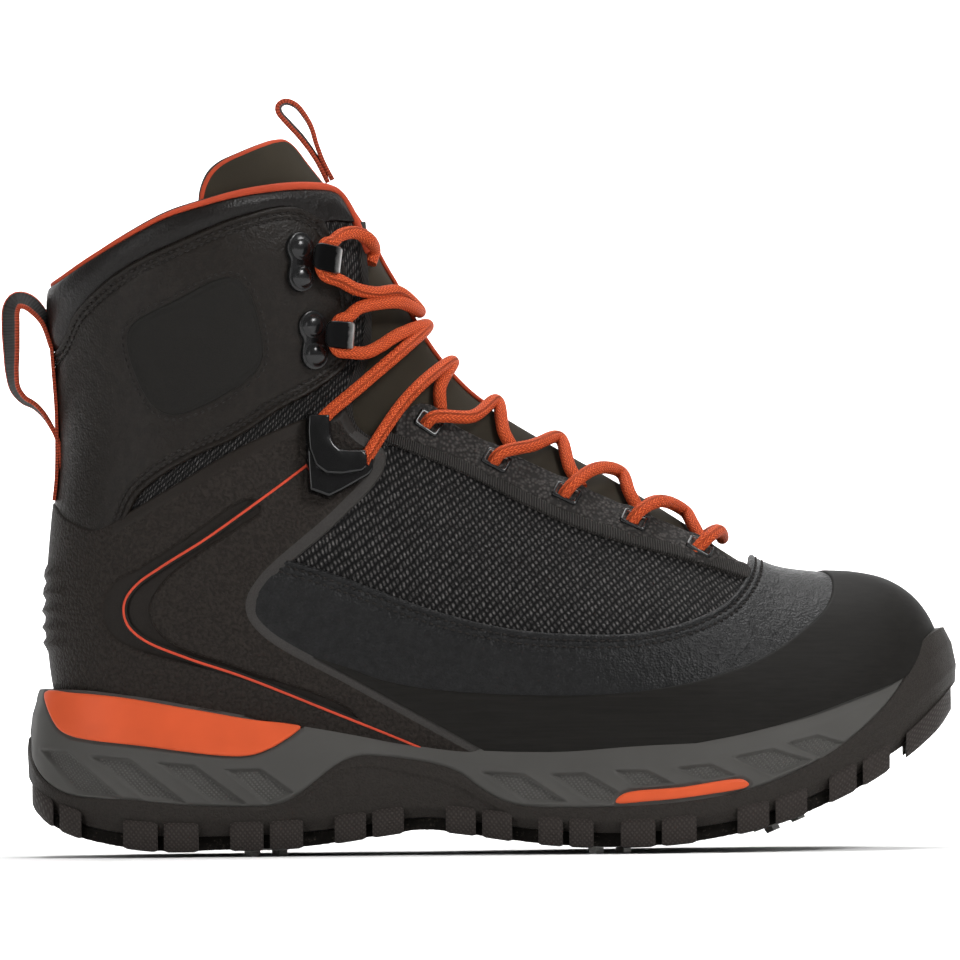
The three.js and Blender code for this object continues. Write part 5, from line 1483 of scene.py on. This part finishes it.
def make_tongue():
    """The padded tongue, with piping round its top and up its middle."""
    front = on_upper([(0.36, 0.985), (0.9, 0.62), (0.9, 0.15)])
    whole = outline(on_upper(TONGUE_TOP), front, on_upper(TONGUE_REAR))
    skin = FRONT.copy().measure("tongue", whole).trim("tongue", 0.0)
    skin.cuts("tongue", (0.3, 0.8, 1.6, 2.6))
    height = -WALL - GAP - 1.2 + rounded(skin.fields["tongue"], 1.9, 2.6)
    tongue = shell("tongue_padding", skin, height, [TONGUE, LINING], foot=-WALL - GAP - 4.2, lining=1)
    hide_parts("tongue")
    skin.cuts("tongue", (1.2,))
    above = skin.points()[:, 2] > SOLE_HEIGHT + 0.93 * UPPER_HEIGHT
    parts = []
    for chain in chains_at(skin, "tongue", 1.2, -WALL - 0.6, above):
        path, normal = evened(chain)
        parts.append(sweep(path, circle(1.0, 10), normal))
    ridge = curve([on_ridge(x, -1.9) for x in np.linspace(0.362, 0.505, 14)], step=1.0)
    parts.append(sweep(ridge, circle(0.8, 10), (0, 1, 0)))
    points, faces, uv, _ = joined(parts)
    make("tongue_piping", points, faces, PIPING, uv)


def make_collar_piping():
    """The collar's orange piping and the rolled lining behind it."""
    edge = 0.6
    skin = FRONT.copy().measure("collar", INSIDE_COLLAR).trim("collar", -3.0)
    skin.clear_of("throat", THROAT).cut("collar", edge)
    parts = []
    for chain in chains_at(skin, "collar", edge, -0.5):
        path, normal = evened(chain)
        front = step_up(path[:, 0], 40, 95)
        path = path + normal * (1.1 * front)[:, None]
        parts.append(sweep(path, circle(1.0, 12), normal, scale=0.9 + 0.6 * front))
    points, faces, uv, _ = joined(parts)
    piping = make("collar_piping", points, faces, PIPING, uv)
    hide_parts("collar_binding")
    inner = []
    for chain in chains_at(skin, "collar", edge, -WALL + 0.4):
        path, normal = evened(chain)
        inner.append(sweep(path, circle(1.5, 12), normal))
    points, faces, uv, _ = joined(inner)
    make("collar_lining_roll", points, faces, LINING, uv)


# Fittings

def seat(place, side, distance):
    """A fitting's axes and middle: X along the side view, turned by some degrees, and Z out of the surface."""
    x, rise, turn = place
    t, angle = find_on_form(on_upper([(x, rise)]), side)
    normal = form_normal(t, angle)[0]
    point = form_point(t, angle)[0] + normal * distance
    across = np.array([math.cos(math.radians(turn)), 0, math.sin(math.radians(turn))])
    across -= across.dot(normal) * normal
    across /= np.linalg.norm(across)
    up = np.cross(normal, across)
    return np.stack([across, up, normal], axis=1), point


def seated(points, place):
    """A fitting's own points, moved to its seat."""
    axes, point = place
    return np.asarray(points, float) @ axes.T + point


def slab(shape, low, high, bevel):
    """A plate with the given outline, flat below and with its upper edge rounded over."""
    p = np.array(shape, float)
    area = np.sum(p[:, 0] * np.roll(p[:, 1], -1) - np.roll(p[:, 0], -1) * p[:, 1])
    if area < 0:
        p = p[::-1]
    before, after = p - np.roll(p, 1, axis=0), np.roll(p, -1, axis=0) - p
    before /= np.linalg.norm(before, axis=1, keepdims=True)
    after /= np.linalg.norm(after, axis=1, keepdims=True)
    out = np.stack([before[:, 1] + after[:, 1], -before[:, 0] - after[:, 0]], axis=1)
    out /= np.maximum(1 + (before * after).sum(1), 0.5)[:, None]
    rings = [np.column_stack([p, np.full(len(p), low)])]
    for turn in np.linspace(0, math.pi / 2, 4):
        shrink = bevel * (1 - math.cos(turn))
        level = high - bevel * (1 - math.sin(turn))
        rings.append(np.column_stack([p - out * shrink, np.full(len(p), level)]))
    return closed_rings(rings)


def closed_rings(rings):
    """A closed piece from rings of equally many points."""
    points = np.vstack(rings)
    first, last = ends(len(rings), len(rings[0]))
    return points, [first] + bands(len(rings), len(rings[0])) + [last], points[:, :2].copy()


def rivet(x, y):
    """A rivet's domed head with a small flat rim."""
    base, radius, height, rim, sides = 1.1, 4.2, 2.2, 0.55, 24
    profile = [(radius, 0), (radius, 0.35), (radius * 0.94, rim)]
    for a in np.linspace(0.12, 1.5, 7):
        profile.append((radius * 0.86 * math.cos(a), rim + (height - rim) * math.sin(a)))
    turn = np.linspace(0, 2 * math.pi, sides, endpoint=False)
    around = np.stack([np.cos(turn), np.sin(turn)], axis=1)
    rings = [np.column_stack([(x, y) + r * around, np.full(sides, base + z)]) for r, z in profile]
    return closed_rings(rings)


def rounded_box(width, length, radius):
    """Outline of a rectangle with round corners."""
    made = []
    for k, (sx, sy) in enumerate([(1, 1), (-1, 1), (-1, -1), (1, -1)]):
        middle_x, middle_y = sx * (width / 2 - radius), sy * (length / 2 - radius)
        for a in np.linspace(k * math.pi / 2, (k + 1) * math.pi / 2, 5):
            made.append((middle_x + radius * math.cos(a), middle_y + radius * math.sin(a)))
    return made


def hook_head():
    """The hook's bend: flat metal turned up and back over the lace, narrow at its root."""
    bend, radius, low, high = (4.0, 3.9), 3.2, 0.7, 7.1
    arc = []
    for a in np.linspace(-math.pi / 2, math.pi / 2, 15):
        arc.append((bend[0] + radius * math.cos(a), bend[1] + radius * math.sin(a)))
    root = [(-4.6, low), (-2.0, low), (1.0, low)]
    lip = [(1.5, high), (-1.0, high), (-2.6, high), (-3.6, 7.0), (-4.3, 6.9), (-4.7, 6.7)]
    path = np.array([(x - 2.3, 0, z) for x, z in root + arc + lip])
    half, thick, corner = 4.7, 0.75, 0.4
    edge = [(half, -thick * 0.5), (half, thick * 0.5), (half - corner, thick)]
    profile = [(-half, -thick * 0.5), (-half + corner, -thick), (half - corner, -thick)]
    profile = np.array(profile + edge + [(-half + corner, thick), (-half, thick * 0.5)])
    narrow = [0.6] * 3 + list(0.6 + 0.4 * step_up(np.arange(15), 3, 13)) + [1.0, 1.0, 0.98, 0.9, 0.74, 0.5]
    return sweep(path, profile, up=(0, 0, -1), scale=np.array(narrow))


def make_hooks():
    """The speed hooks: a plate with two rivets, and a bend whose paint is worn off."""
    for name, side in SIDES.items():
        for number, hook in enumerate(HOOKS, 1):
            place = seat(hook, side, GAP + PANEL_THICKNESS + 0.3)
            plate = [(x, -y * side) for x, y in HOOK_PLATE]
            parts = [slab(curve(plate, closed=True, step=1.0)[:-1], -0.6, 1.3, 0.5)]
            parts += [rivet(x, -y * side) for x, y in RIVETS]
            parts.append(hook_head())
            points, faces, uv, kinds = joined(parts)
            slots = [1 if kind == len(parts) - 1 else 0 for kind in kinds]
            mats = [FITTING, HOOK_PAINT]
            name_here = f"speed_hook_{name}_{number}"
            obj = make(name_here, seated(points, place), faces, mats, uv, slots, 35, weld=False)
            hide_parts(f"hook_{name}_{number}")


def ring_band(outer, inner, levels):
    """A frame between two outlines of equally many points. levels: share towards the inside, and height."""
    outer, inner = np.array(outer), np.array(inner)
    n = len(outer)
    points = np.vstack([np.column_stack([outer * (1 - f) + inner * f, np.full(n, z)]) for f, z in levels])
    return points, bands(len(levels), n), points[:, :2].copy()


def make_eyelets():
    """Flat eyelets: a black frame, its worn inner rim and the dark cloth seen through it."""
    outer = rounded_box(EYELET_LENGTH, EYELET_WIDTH, 1.2)
    inner = rounded_box(EYELET_LENGTH - 2 * EYELET_FRAME, EYELET_WIDTH - 2 * EYELET_FRAME, 0.7)
    parts = [
        ring_band(outer, inner, [(0, -1.2), (0, 0.55), (0.12, 0.85), (0.5, 1.0), (0.8, 0.9)]),
        ring_band(outer, inner, [(0.78, 0.9), (0.9, 0.75), (1, 0.4), (1, -1.4)]),
        slab(inner, -1.6, -0.9, 0.1),
    ]
    mats = [FITTING, STEEL, LINING]
    points, faces, uv, slots = joined(parts)
    for name, side in SIDES.items():
        for number, eyelet in enumerate(EYELETS, 1):
            here = seated(points, seat(eyelet, side, GAP + EYESTAY_THICKNESS))
            obj = make(f"eyelet_frame_{name}_{number}", here, faces, mats, uv, slots, 50, weld=False)
            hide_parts(f"eyelet_{name}_{number}")


def seen_shape(place, pixels, height):
    """A fitting's own outline at a height over its seat that shows at these pixels of the photograph."""
    axes, point = place
    flat = axes[[0, 2]]
    wanted = in_photo(pixels) - point[[0, 2]] - height * flat[:, 2]
    return np.linalg.solve(flat[:, :2], wanted.T).T


def make_locks():
    """Lace lock: an elbow in two tiers, the upper narrower, both with bevelled edges."""
    outer = seat(LOCK, -1, GAP + CAGE_THICKNESS)
    tiers = []
    for pixels, low, high, bevel in ((LOCK_LOW, -2.5, 4.6, 0.9), (LOCK_TOP, 4.2, 7.2, 0.8)):
        shape = seen_shape(outer, pixels, high)
        tiers.append((resample(np.vstack([shape, shape[:1]]), 1.0)[:-1], low, high, bevel))
    for name, side in SIDES.items():
        place = seat(LOCK, side, GAP + CAGE_THICKNESS)
        points, faces, uv, _ = joined([slab(shape * (1, -side), *rest) for shape, *rest in tiers])
        obj = make(f"lock_housing_{name}", seated(points, place), faces, PLASTIC, uv, None, 35, weld=False)
        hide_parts(f"lace_lock_{name}")


# The lace

LACE_OVER = 2 * GAP + EYESTAY_THICKNESS + EYELET_THICKNESS + LACE / 2 + GAP
LACE_LOW = LACE / 2 - WALL + GAP
LACE_TUCKED = LACE_LOW + 0.8
LACE_RIDGE = LACE_LOW + 1.5
LACE_HIDDEN = -0.8
LACE_IN_LOCK = GAP + CAGE_THICKNESS + 4.0
LACE_IN_HOOK = PANEL_THICKNESS + 2 * GAP + 1.3 + LACE / 2 + 2 * GAP


def lace(name, paths, node):
    """Round braided cord along one or more paths."""
    lines = [curve(np.array(path), step=0.7) for path in paths]
    points, faces, uv, _ = joined([sweep(line, circle(LACE / 2, 20), up=(0, 0.3, 1)) for line in lines])
    obj = make(name, points, faces, LACE_BRAID, uv, weld=False)
    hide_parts(node)


def seen_at(point, side, distance):
    """Point at a distance over the form that shows at one place of the side view, given in shares."""
    target = on_upper([point])[0]
    base = np.array(target)
    for _ in range(6):
        t, turn = find_on_form(base[None], side)
        found = (form_point(t, turn) + form_normal(t, turn) * distance)[0]
        base = base + target - found[[0, 2]]
    return found


def out_of_eyelet(eyelet, via, lean, side):
    """The lace's start: up through an eyelet and on over the eyestay. lean is how far ahead it comes up."""
    x, rise, _ = eyelet
    return [
        on_form((x - 0.004, rise - 0.004), side, 0.2),
        on_form((x + lean[0], rise + lean[1]), side, LACE_OVER - 0.6),
        on_form(via, side, LACE_OVER - 0.4),
    ]


def over(places, side):
    """The lace lying on the eyestay, seen at these places."""
    return [seen_at(place, side, LACE_OVER) for place in places]


def behind_neck(hook, side):
    """The lace's way round behind a hook's neck."""
    return [on_form((hook[0] + dx, hook[1] + dz), side, LACE_IN_HOOK) for dx, dz in BEHIND_NECK]


def under_tongue_edge(ridge, tuck, end, side):
    """The lace's end: over the ridge and down beside the tongue on the other side."""
    return [on_ridge(ridge, LACE_RIDGE), on_form(tuck, -side, LACE_TUCKED), on_form(end, -side, LACE_HIDDEN)]


def lock_run(side):
    """The lace from the lock's upper way, across to the throat's far edge."""
    start = [seen_at(LOCK_CROSSING[0], side, LACE_IN_LOCK)] + over(LOCK_CROSSING[1:], side)
    return start + under_tongue_edge(0.459, (0.447, 0.59), (0.449, 0.548), side)


def ankle_run(side):
    """The lace from the lock up to the far lower hook, back to the near upper one and in under the collar."""
    start = [seen_at(NEAR_OUT[0], side, LACE_IN_LOCK)] + over(NEAR_OUT[1:], side)
    start.append(on_ridge(0.4318, LACE_RIDGE))
    far = over(FAR_IN, -side) + behind_neck(HOOKS[1], -side) + over(FAR_OUT, -side)
    near = [on_ridge(0.4235, LACE_RIDGE)] + over(NEAR_IN, side) + behind_neck(HOOKS[0], side)
    finish = [seen_at(NEAR_END[-1], side, LACE_RIDGE), seen_at((0.374, 0.84), side, -0.5)]
    return start + far + near + over(NEAR_END[:-1], side) + finish


def make_laces():
    """The lace: a run over the toe end, four crossings, one more from the locks and the ankle's."""
    for number, (via, ridge, tuck) in enumerate(VAMP_CROSSINGS, 1):
        end = (tuck[0] + 0.013, tuck[1] - 0.036)
        paths = []
        for side in SIDES.values():
            start = out_of_eyelet(EYELETS[number - 1], via, (0.002, 0.004), side)
            paths.append(start + under_tongue_edge(ridge, tuck, end, side))
        lace(f"lace_vamp_{number}", paths, f"lace_crossing_{number}")
    bar = [out_of_eyelet(EYELETS[-1], (0.736, 0.277), (0.003, 0.003), side) for side in SIDES.values()]
    lace("lace_bar", [bar[0] + [on_ridge(0.748, LACE_RIDGE)] + bar[1][::-1]], "lace_toe_bar")
    lace("lace_lock_run", [lock_run(side) for side in SIDES.values()], "lace_lock_crossing")
    lace("lace_shin", [ankle_run(side) for side in SIDES.values()], "lace_ankle")


# Webbing loops

def in_middle_plane(path):
    """A smooth line through side-view points, in the plane between the boot's two sides."""
    line = curve(path, step=1.0)
    return np.column_stack([line[:, 0], np.zeros(len(line)), line[:, 1]])


def woven_section(width):
    """The webbing's section, with a thicker selvedge at each edge, and which of its faces are selvedge."""
    half, thick = width / 2, WEBBING / 2
    left = [-half, -half + 0.25, -half + 1.2, -half + 1.6, -half / 3]
    across = np.array(left + [-x for x in left[::-1]])
    rise = [0.4, 1, 1.1, 0.9, 1]
    upper = thick * np.array(rise + rise[::-1])
    profile = np.vstack([np.column_stack([across, upper]), np.column_stack([across[::-1], -upper[::-1]])])
    return profile, [0, 1, 2, 6, 7, 8, 9, 10, 11, 12, 16, 17, 18, 19]


def tape(name, path, width, node, twist):
    """Woven tape along a side-view path, turned out of its plane between its ends, with orange edges."""
    path = in_middle_plane(path)
    ahead = np.gradient(path, axis=0)
    ahead /= np.linalg.norm(ahead, axis=1, keepdims=True)
    flat = np.cross(ahead, (0, 1, 0))
    share = np.linspace(0, 1, len(path))
    turn = np.radians(twist[0] * np.sin(np.pi * share) + twist[1] * np.sin(2 * np.pi * share))[:, None]
    ups = flat * np.cos(turn) + np.array([0, 1, 0]) * np.sin(turn)
    profile, selvedge = woven_section(width)
    points, faces, uv = sweep(path, profile, up=ups)
    slots = [1 if number % len(profile) in selvedge else 0 for number in range(len(faces))]
    obj = make(name, points, faces, [WEBBING_BLACK, WEBBING_ORANGE], uv, slots, 50, weld=False)
    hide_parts(node)


def make_loops():
    """The pull loops at the tongue and at the heel, and the strip that the heel's is sewn to."""
    tape("pull_tab_front", on_upper(TONGUE_LOOP), TONGUE_LOOP_WIDTH, "tongue_loop", (4, 2))
    outer = in_photo(HEEL_LOOP)
    off = PANEL_THICKNESS + 2 * GAP + WEBBING / 2
    inner = []
    for rise in (0.68, 0.62, 0.56, 0.5, 0.42, 0.375):
        x = np.interp(rise, SECTIONS["back_rise"][20:], SECTIONS["back_x"][20:])
        inner.append((x * SOLE_LENGTH - off + 0.5, SOLE_HEIGHT + rise * UPPER_HEIGHT))
    outer[0] = inner[0]
    tape("pull_tab_heel", outer, HEEL_LOOP_WIDTH, "heel_loop", (15, 8))
    half, thick = HEEL_LOOP_WIDTH / 2, 0.6
    profile = np.array([(-half, -thick), (half, -thick), (half, thick), (-half, thick)])
    points, faces, uv = sweep(in_middle_plane(inner), profile, up=(1, 0, 0))
    make("pull_tab_strip", points, faces, WEBBING_ORANGE, uv)


# The sole

def wall_grid():
    """The sole's whole wall as a skin."""
    s = np.arange(len(RING) + 1, dtype=float)
    level = np.linspace(0, 1, 50)
    lengths = grid_lengths(wall_point(*np.meshgrid(s, level, indexing="ij")))
    return Skin(wall_point, wall_normal, s, level, lengths)


RUBBER_OUTLINE = outline(on_sole(RUBBER_EDGE), [(400, 90), (400, -60), (-60, -60), (-60, 44)])


def make_midsole():
    """The foam midsole's wall with its lozenge-faced dents, and the orange inserts let into it."""
    skin = wall_grid().measure("rubber", RUBBER_OUTLINE)
    skin.fields["foam"] = -skin.fields["rubber"]
    skin.trim("foam", 0.0)
    for name, shape in (("heel", HEEL_PANEL), ("fore", FORE_STRIP)):
        skin.measure(name, curve(on_sole(shape), closed=True))
    skin.cuts("foam", (0.3, 0.9)).cuts("heel", (-1.2, -0.4, 0.0)).cuts("fore", (-1.2, -0.4, 0.0))
    deepest = np.full(len(skin.fields["a"]), -99.0)
    for dent in DENTS:
        deepest = np.maximum(deepest, skin.measure("dents", in_photo(dent)).fields["dents"])
    skin.fields["dents"] = deepest
    skin.cuts("dents", (-0.4, 0.0, 0.5, 1.1))
    f = skin.fields
    height = -1.2 * step_up(f["dents"], -0.3, 0.9) + ridge_line(f["dents"], -0.5, 0.5, 0.25)
    height -= 0.55 * (1 - step_up(f["foam"], 0.0, 0.9))
    for name in ("heel", "fore"):
        height -= 0.7 * step_up(f[name], -0.9, 0.0)
    height += 0.25 * step_up(f["b"], 0.86, 0.93) * (1 - step_up(f["b"], 0.97, 1.0))
    slots = np.where(skin.mean(f["dents"]) > 0.8, 1, 0)
    sole = shell("midsole_wall", skin, height, [FOAM, DENT], foot=-3.0, slots=slots, sharp=55)
    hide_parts("midsole")
    gap = 0.35
    for name, side in SIDES.items():
        for part, shape, node in (("heel", HEEL_PANEL, "heel_panel"), ("fore", FORE_STRIP, "fore_strip")):
            insert = wall_grid().measure("in", curve(on_sole(shape), closed=True)).trim("in", gap)
            insert.select(side * insert.points()[:, 1] > 0).cuts("in", (0.5, 0.8, 1.3, 1.9))
            lifted = 0.1 + rounded(insert.fields["in"] - gap, 0.6, 1.2, 0.0)
            obj = shell(f"orange_{part}_{name}", insert, lifted, ORANGE, foot=-1.6)
            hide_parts(f"{node}_{name}")


def make_outsole():
    """The rubber's wall, set back a little under the arch."""
    skin = wall_grid().measure("rubber", RUBBER_OUTLINE).trim("rubber", 0.0)
    skin.measure("arch", outline(in_photo(ARCH_STEP), in_photo(ARCH_STEP_END)))
    skin.cuts("rubber", (0.2, 0.6, 1.2)).cuts("arch", (-0.4, 0.5))
    f = skin.fields
    height = 0.5 * step_up(f["rubber"], 0.0, 1.0) - 0.15
    height -= 0.6 * step_up(f["arch"], -0.5, 0.6)
    wall = shell("outsole_wall", skin, height, RUBBER, foot=-3.0)
    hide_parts("outsole")


def sole_row(x):
    """The table row whose place along the sole is x millimetres."""
    rows = np.linspace(0, len(SOLE["x"]) - 1, 800)
    return np.interp(x, smooth(SOLE["x"], rows) * SOLE_LENGTH, rows)


def lug_block(place, ahead, side):
    """One half of a lug: a block from the sole's side down to its foot, wrapping inwards under the sole."""
    rings = []
    stations = np.linspace(place, ahead, 9)
    for number, x in enumerate(stations):
        row = sole_row(x)
        edge = smooth(SOLE["outer" if side < 0 else "inner"], row) * SOLE_WIDTH
        floor, foot = smooth(SOLE["floor"], row) * SOLE_HEIGHT, smooth(SOLE["foot"], row) * SOLE_HEIGHT
        tuck = 0.45 if number in (0, len(stations) - 1) else 0.0
        out = LUG_PROUD - tuck
        depth = min(LUG_DEPTH, edge * 0.9)
        top, low = floor + LUG_RISE - tuck * 1.5, foot + tuck
        upper = [
            (edge - 3.2, top), (edge + out * 0.3 - 0.6, top), (edge + out * 0.8, top - 1.4),
            (edge + out, floor + 0.5), (edge + out * 0.9, low + 2.2), (edge + out * 0.4 - 0.3, low + 0.5),
        ]
        under = [
            (edge - 1.3, low), (edge - depth * 0.5, low), (edge - depth + 0.6, low),
            (edge - depth, low + 0.7), (edge - depth, floor + 0.6), (edge - 4.2, floor + 1.4),
        ]
        rings.append([(x, side * y, z) for y, z in upper + under])
    return rings


def lofted(rings):
    """A closed piece between rings that stand across the boot's length."""
    points = np.array([p for ring in rings for p in ring], float)
    n = len(rings[0])
    faces = [face[::-1] for face in ends(len(rings), n)]
    faces += [[a, d, c, b] for a, b, c, d in bands(len(rings), n)]
    around = run_lengths(np.array(rings[0])[:, 1:])
    uv = np.array([(ring[0][0], around[j]) for ring in rings for j in range(n)], float)
    return points, faces, uv


def make_lugs():
    """The nine lugs on each side, each split by a slot."""
    parts = []
    for start, end in LUGS:
        start, end = start * SOLE_LENGTH, end * SOLE_LENGTH
        middle = (start + end) / 2
        for side in (-1, 1):
            for low, high in ((max(start, 1.2), middle - LUG_SLOT / 2), (middle + LUG_SLOT / 2, end)):
                parts.append(lofted(lug_block(low, high, side)))
    points, faces, uv, _ = joined(parts)
    obj = make("tread_lugs", points, faces, LUG_RUBBER, uv, None, 30, weld=False)
    turn_outward(obj)


def make_toe_bumper():
    """The outsole's turned-up toe, with its lug wrapping under it."""
    parts = []
    middle_y = SOLE_WIDTH * SOLE["inner"][-1]
    for sign in (-1, 1):
        rings = []
        for x in np.linspace(TOE_LUG[0] * SOLE_LENGTH, TOE_LUG[1] * SOLE_LENGTH + 3, 12):
            row = sole_row(min(x, SOLE_LENGTH - 0.5))
            edge = smooth(SOLE["outer" if sign < 0 else "inner"], row) * SOLE_WIDTH * sign
            floor, foot = smooth(SOLE["floor"], row) * SOLE_HEIGHT, smooth(SOLE["foot"], row) * SOLE_HEIGHT
            near = middle_y + sign * TOE_SLOT / 2
            if (edge - near) * sign < 2.5:
                break
            out = edge + sign * LUG_PROUD
            reach = edge - sign * LUG_DEPTH * 1.4
            inner = max(near, reach) if sign > 0 else min(near, reach)
            shape = [
                (edge - sign * 3, floor + LUG_RISE), (out, floor + LUG_RISE - 1.2), (out, foot + 2),
                (out - sign * 1.5, foot), (inner + sign * 0.5, foot), (inner, foot + 0.6), (inner, floor + 1),
                (edge - sign * 4, floor + 2),
            ]
            rings.append([(x, y, z) for y, z in shape])
        parts.append(lofted(rings))
    points, faces, uv, _ = joined(parts)
    obj = make("toe_lugs", points, faces, LUG_RUBBER, uv, None, 30, weld=False)
    turn_outward(obj)


def flat_sole(name, columns, lifts, inset, mat, span, rough=0.0):
    """A sheet that follows the sole's underside between two columns of its table, inset from its edge."""
    rings = []
    for x in np.arange(span[0], span[1], 1.3):
        row = sole_row(x)
        outer = smooth(SOLE["outer"], row) * SOLE_WIDTH - inset
        inner = smooth(SOLE["inner"], row) * SOLE_WIDTH - inset
        if outer + inner < 6:
            continue
        low, high = (smooth(SOLE[column], row) * SOLE_HEIGHT + lift for column, lift in zip(columns, lifts))
        across = np.linspace(-outer, inner, 60)
        broad = np.sin(across * 1.7 + x * 0.9) * np.sin(across * 0.73 - x * 1.31)
        wave = rough * (broad + 0.5 * np.sin(x * 2.3 + across * 2.9))
        under = [(x, y, low + w) for y, w in zip(across, wave)]
        over = [(x, y, high) for y in (inner, (inner - outer) / 2, -outer)]
        rings.append(under + over)
    points, faces, _ = lofted(rings)
    obj = make(name, points, faces, mat, points[:, :2].copy(), None, 60, weld=False)
    turn_outward(obj)
    return obj


def make_underside():
    """The felt sole, and the rubber over it that closes the sole's wall."""
    span = (6, 0.915 * SOLE_LENGTH)
    pad = flat_sole("felt_pad", ("foot", "floor"), (FELT_RECESS, -GAP), 4.5, FELT, span, rough=0.12)
    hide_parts("felt_sole")
    plate = flat_sole("sole_plate", ("floor", "floor"), (0.0, 3.0), 3.0, RUBBER, (4, SOLE_LENGTH - 2))


def make_insole():
    """The footbed, seen down the collar."""
    thickness = 3.6
    turn = np.linspace(-1.15, 1.15, 24)
    rings = []
    for t in np.linspace(2.5, 19, 60):
        p = form_point(t, turn) - form_normal(t, turn) * (WALL + GAP)
        rings.append(np.vstack([p + (0, 0, thickness), p[::-1]]).tolist())
    points, faces, _ = lofted(rings)
    obj = make("footbed", points, faces, LINING, points[:, :2].copy(), None, 50, weld=False)
    turn_outward(obj)
    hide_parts("insole")


def dress_cleats():
    """The cleats stay as they are: steel, with their edges broken."""
    for name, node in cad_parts.items():
        if name.startswith("cleat_"):
            node.data.materials.clear()
            node.data.materials.append(STEEL)
            edge = node.modifiers.new("edge", "BEVEL")
            edge.width, edge.segments, edge.limit_method = 0.0004, 2, "ANGLE"


# Camera, floor and light

WHITE = (1, 1, 1, 1)

def lamp(name, place, size, power, aim=(0, 0, 0.12), spread=180):
    """A soft rectangular light that looks at a point."""
    light = bpy.data.lights.new(name, "AREA")
    light.spread = math.radians(spread)
    light.shape = "RECTANGLE"
    light.size, light.size_y = size
    light.energy = power
    obj = bpy.data.objects.new(name, light)
    obj.location = place
    obj.rotation_euler = (Vector(aim) - Vector(place)).to_track_quat("-Z", "Y").to_euler()
    bpy.context.scene.collection.objects.link(obj)


def make_stage():
    """A camera square to the boot's outer side, a white floor that bends up behind it, and soft light."""
    scene = bpy.context.scene
    scene.view_settings.view_transform = "Standard"
    distance = 7.5
    middle = in_photo([(PICTURE / 2, PICTURE / 2)])[0]
    camera = bpy.data.objects.new("camera", bpy.data.cameras.new("camera"))
    camera.data.lens = camera.data.sensor_width * distance / (PICTURE * PIXEL / 1000)
    camera.data.clip_end = 50
    at = to_frame([[middle[0], 0, middle[1]]])[0]
    camera.location = (at[0], -distance - SOLE_WIDTH / 2000, at[2])
    camera.rotation_euler = (math.pi / 2, math.atan(ROLL), 0)
    scene.collection.objects.link(camera)
    scene.camera = camera

    width, front, depth, rise, bend = 14.0, -8.0, 10.0, 8.0, 2.0
    line = [(front, 0.0), (depth - bend, 0.0)]
    for a in np.linspace(0.05, math.pi / 2, 24):
        line.append((depth - bend + bend * math.sin(a), bend - bend * math.cos(a)))
    line.append((depth, rise))
    points = [(x, y, z) for y, z in line for x in (-width, width)]
    faces = [(2 * i, 2 * i + 1, 2 * i + 3, 2 * i + 2) for i in range(len(line) - 1)]
    mesh = bpy.data.meshes.new("floor")
    mesh.from_pydata(points, [], faces)
    mesh.polygons.foreach_set("use_smooth", [True] * len(mesh.polygons))
    mesh.materials.append(Nodes("studio_floor", (0.92, 0.92, 0.92), 0.9, specular=0.0).mat)
    floor = bpy.data.objects.new("floor", mesh)
    scene.collection.objects.link(floor)

    world = bpy.data.worlds.new("studio")
    world.use_nodes = True
    background = world.node_tree.nodes["Background"].inputs
    background["Color"].default_value = WHITE
    background["Strength"].default_value = 0.27
    scene.world = world

    lamp("key", (1.2, -1.2, 1.5), (0.6, 0.6), 32)
    lamp("fill", (-1.8, -1.5, 0.8), (0.8, 1.2), 14)
    lamp("top", (0.15, 0.5, 1.9), (1.4, 1.0), 30)
    lamp("apron", (0, -2.3, 1.4), (7.0, 1.8), 90, aim=(0, -2.3, 0), spread=60)
    lamp("backdrop", (0, 1.6, 2.6), (5.0, 2.0), 420, aim=(0, 5.0, 0.2))
    lamp("far_backdrop", (0, 5.4, 2.8), (5.0, 2.0), 460, aim=(0, 9.6, 0.4))


for make_piece in (
    make_stage, make_upper_shell, make_throat_binding, make_collar_band, make_ankle_panel, make_patches,
    make_cage, make_cage_lines, make_rand, make_band, make_eyestays, make_tongue, make_collar_piping,
    make_hooks, make_eyelets, make_locks, make_laces, make_loops, make_midsole, make_outsole, make_lugs,
    make_toe_bumper, make_underside, make_insole, dress_cleats,
):
    make_piece()
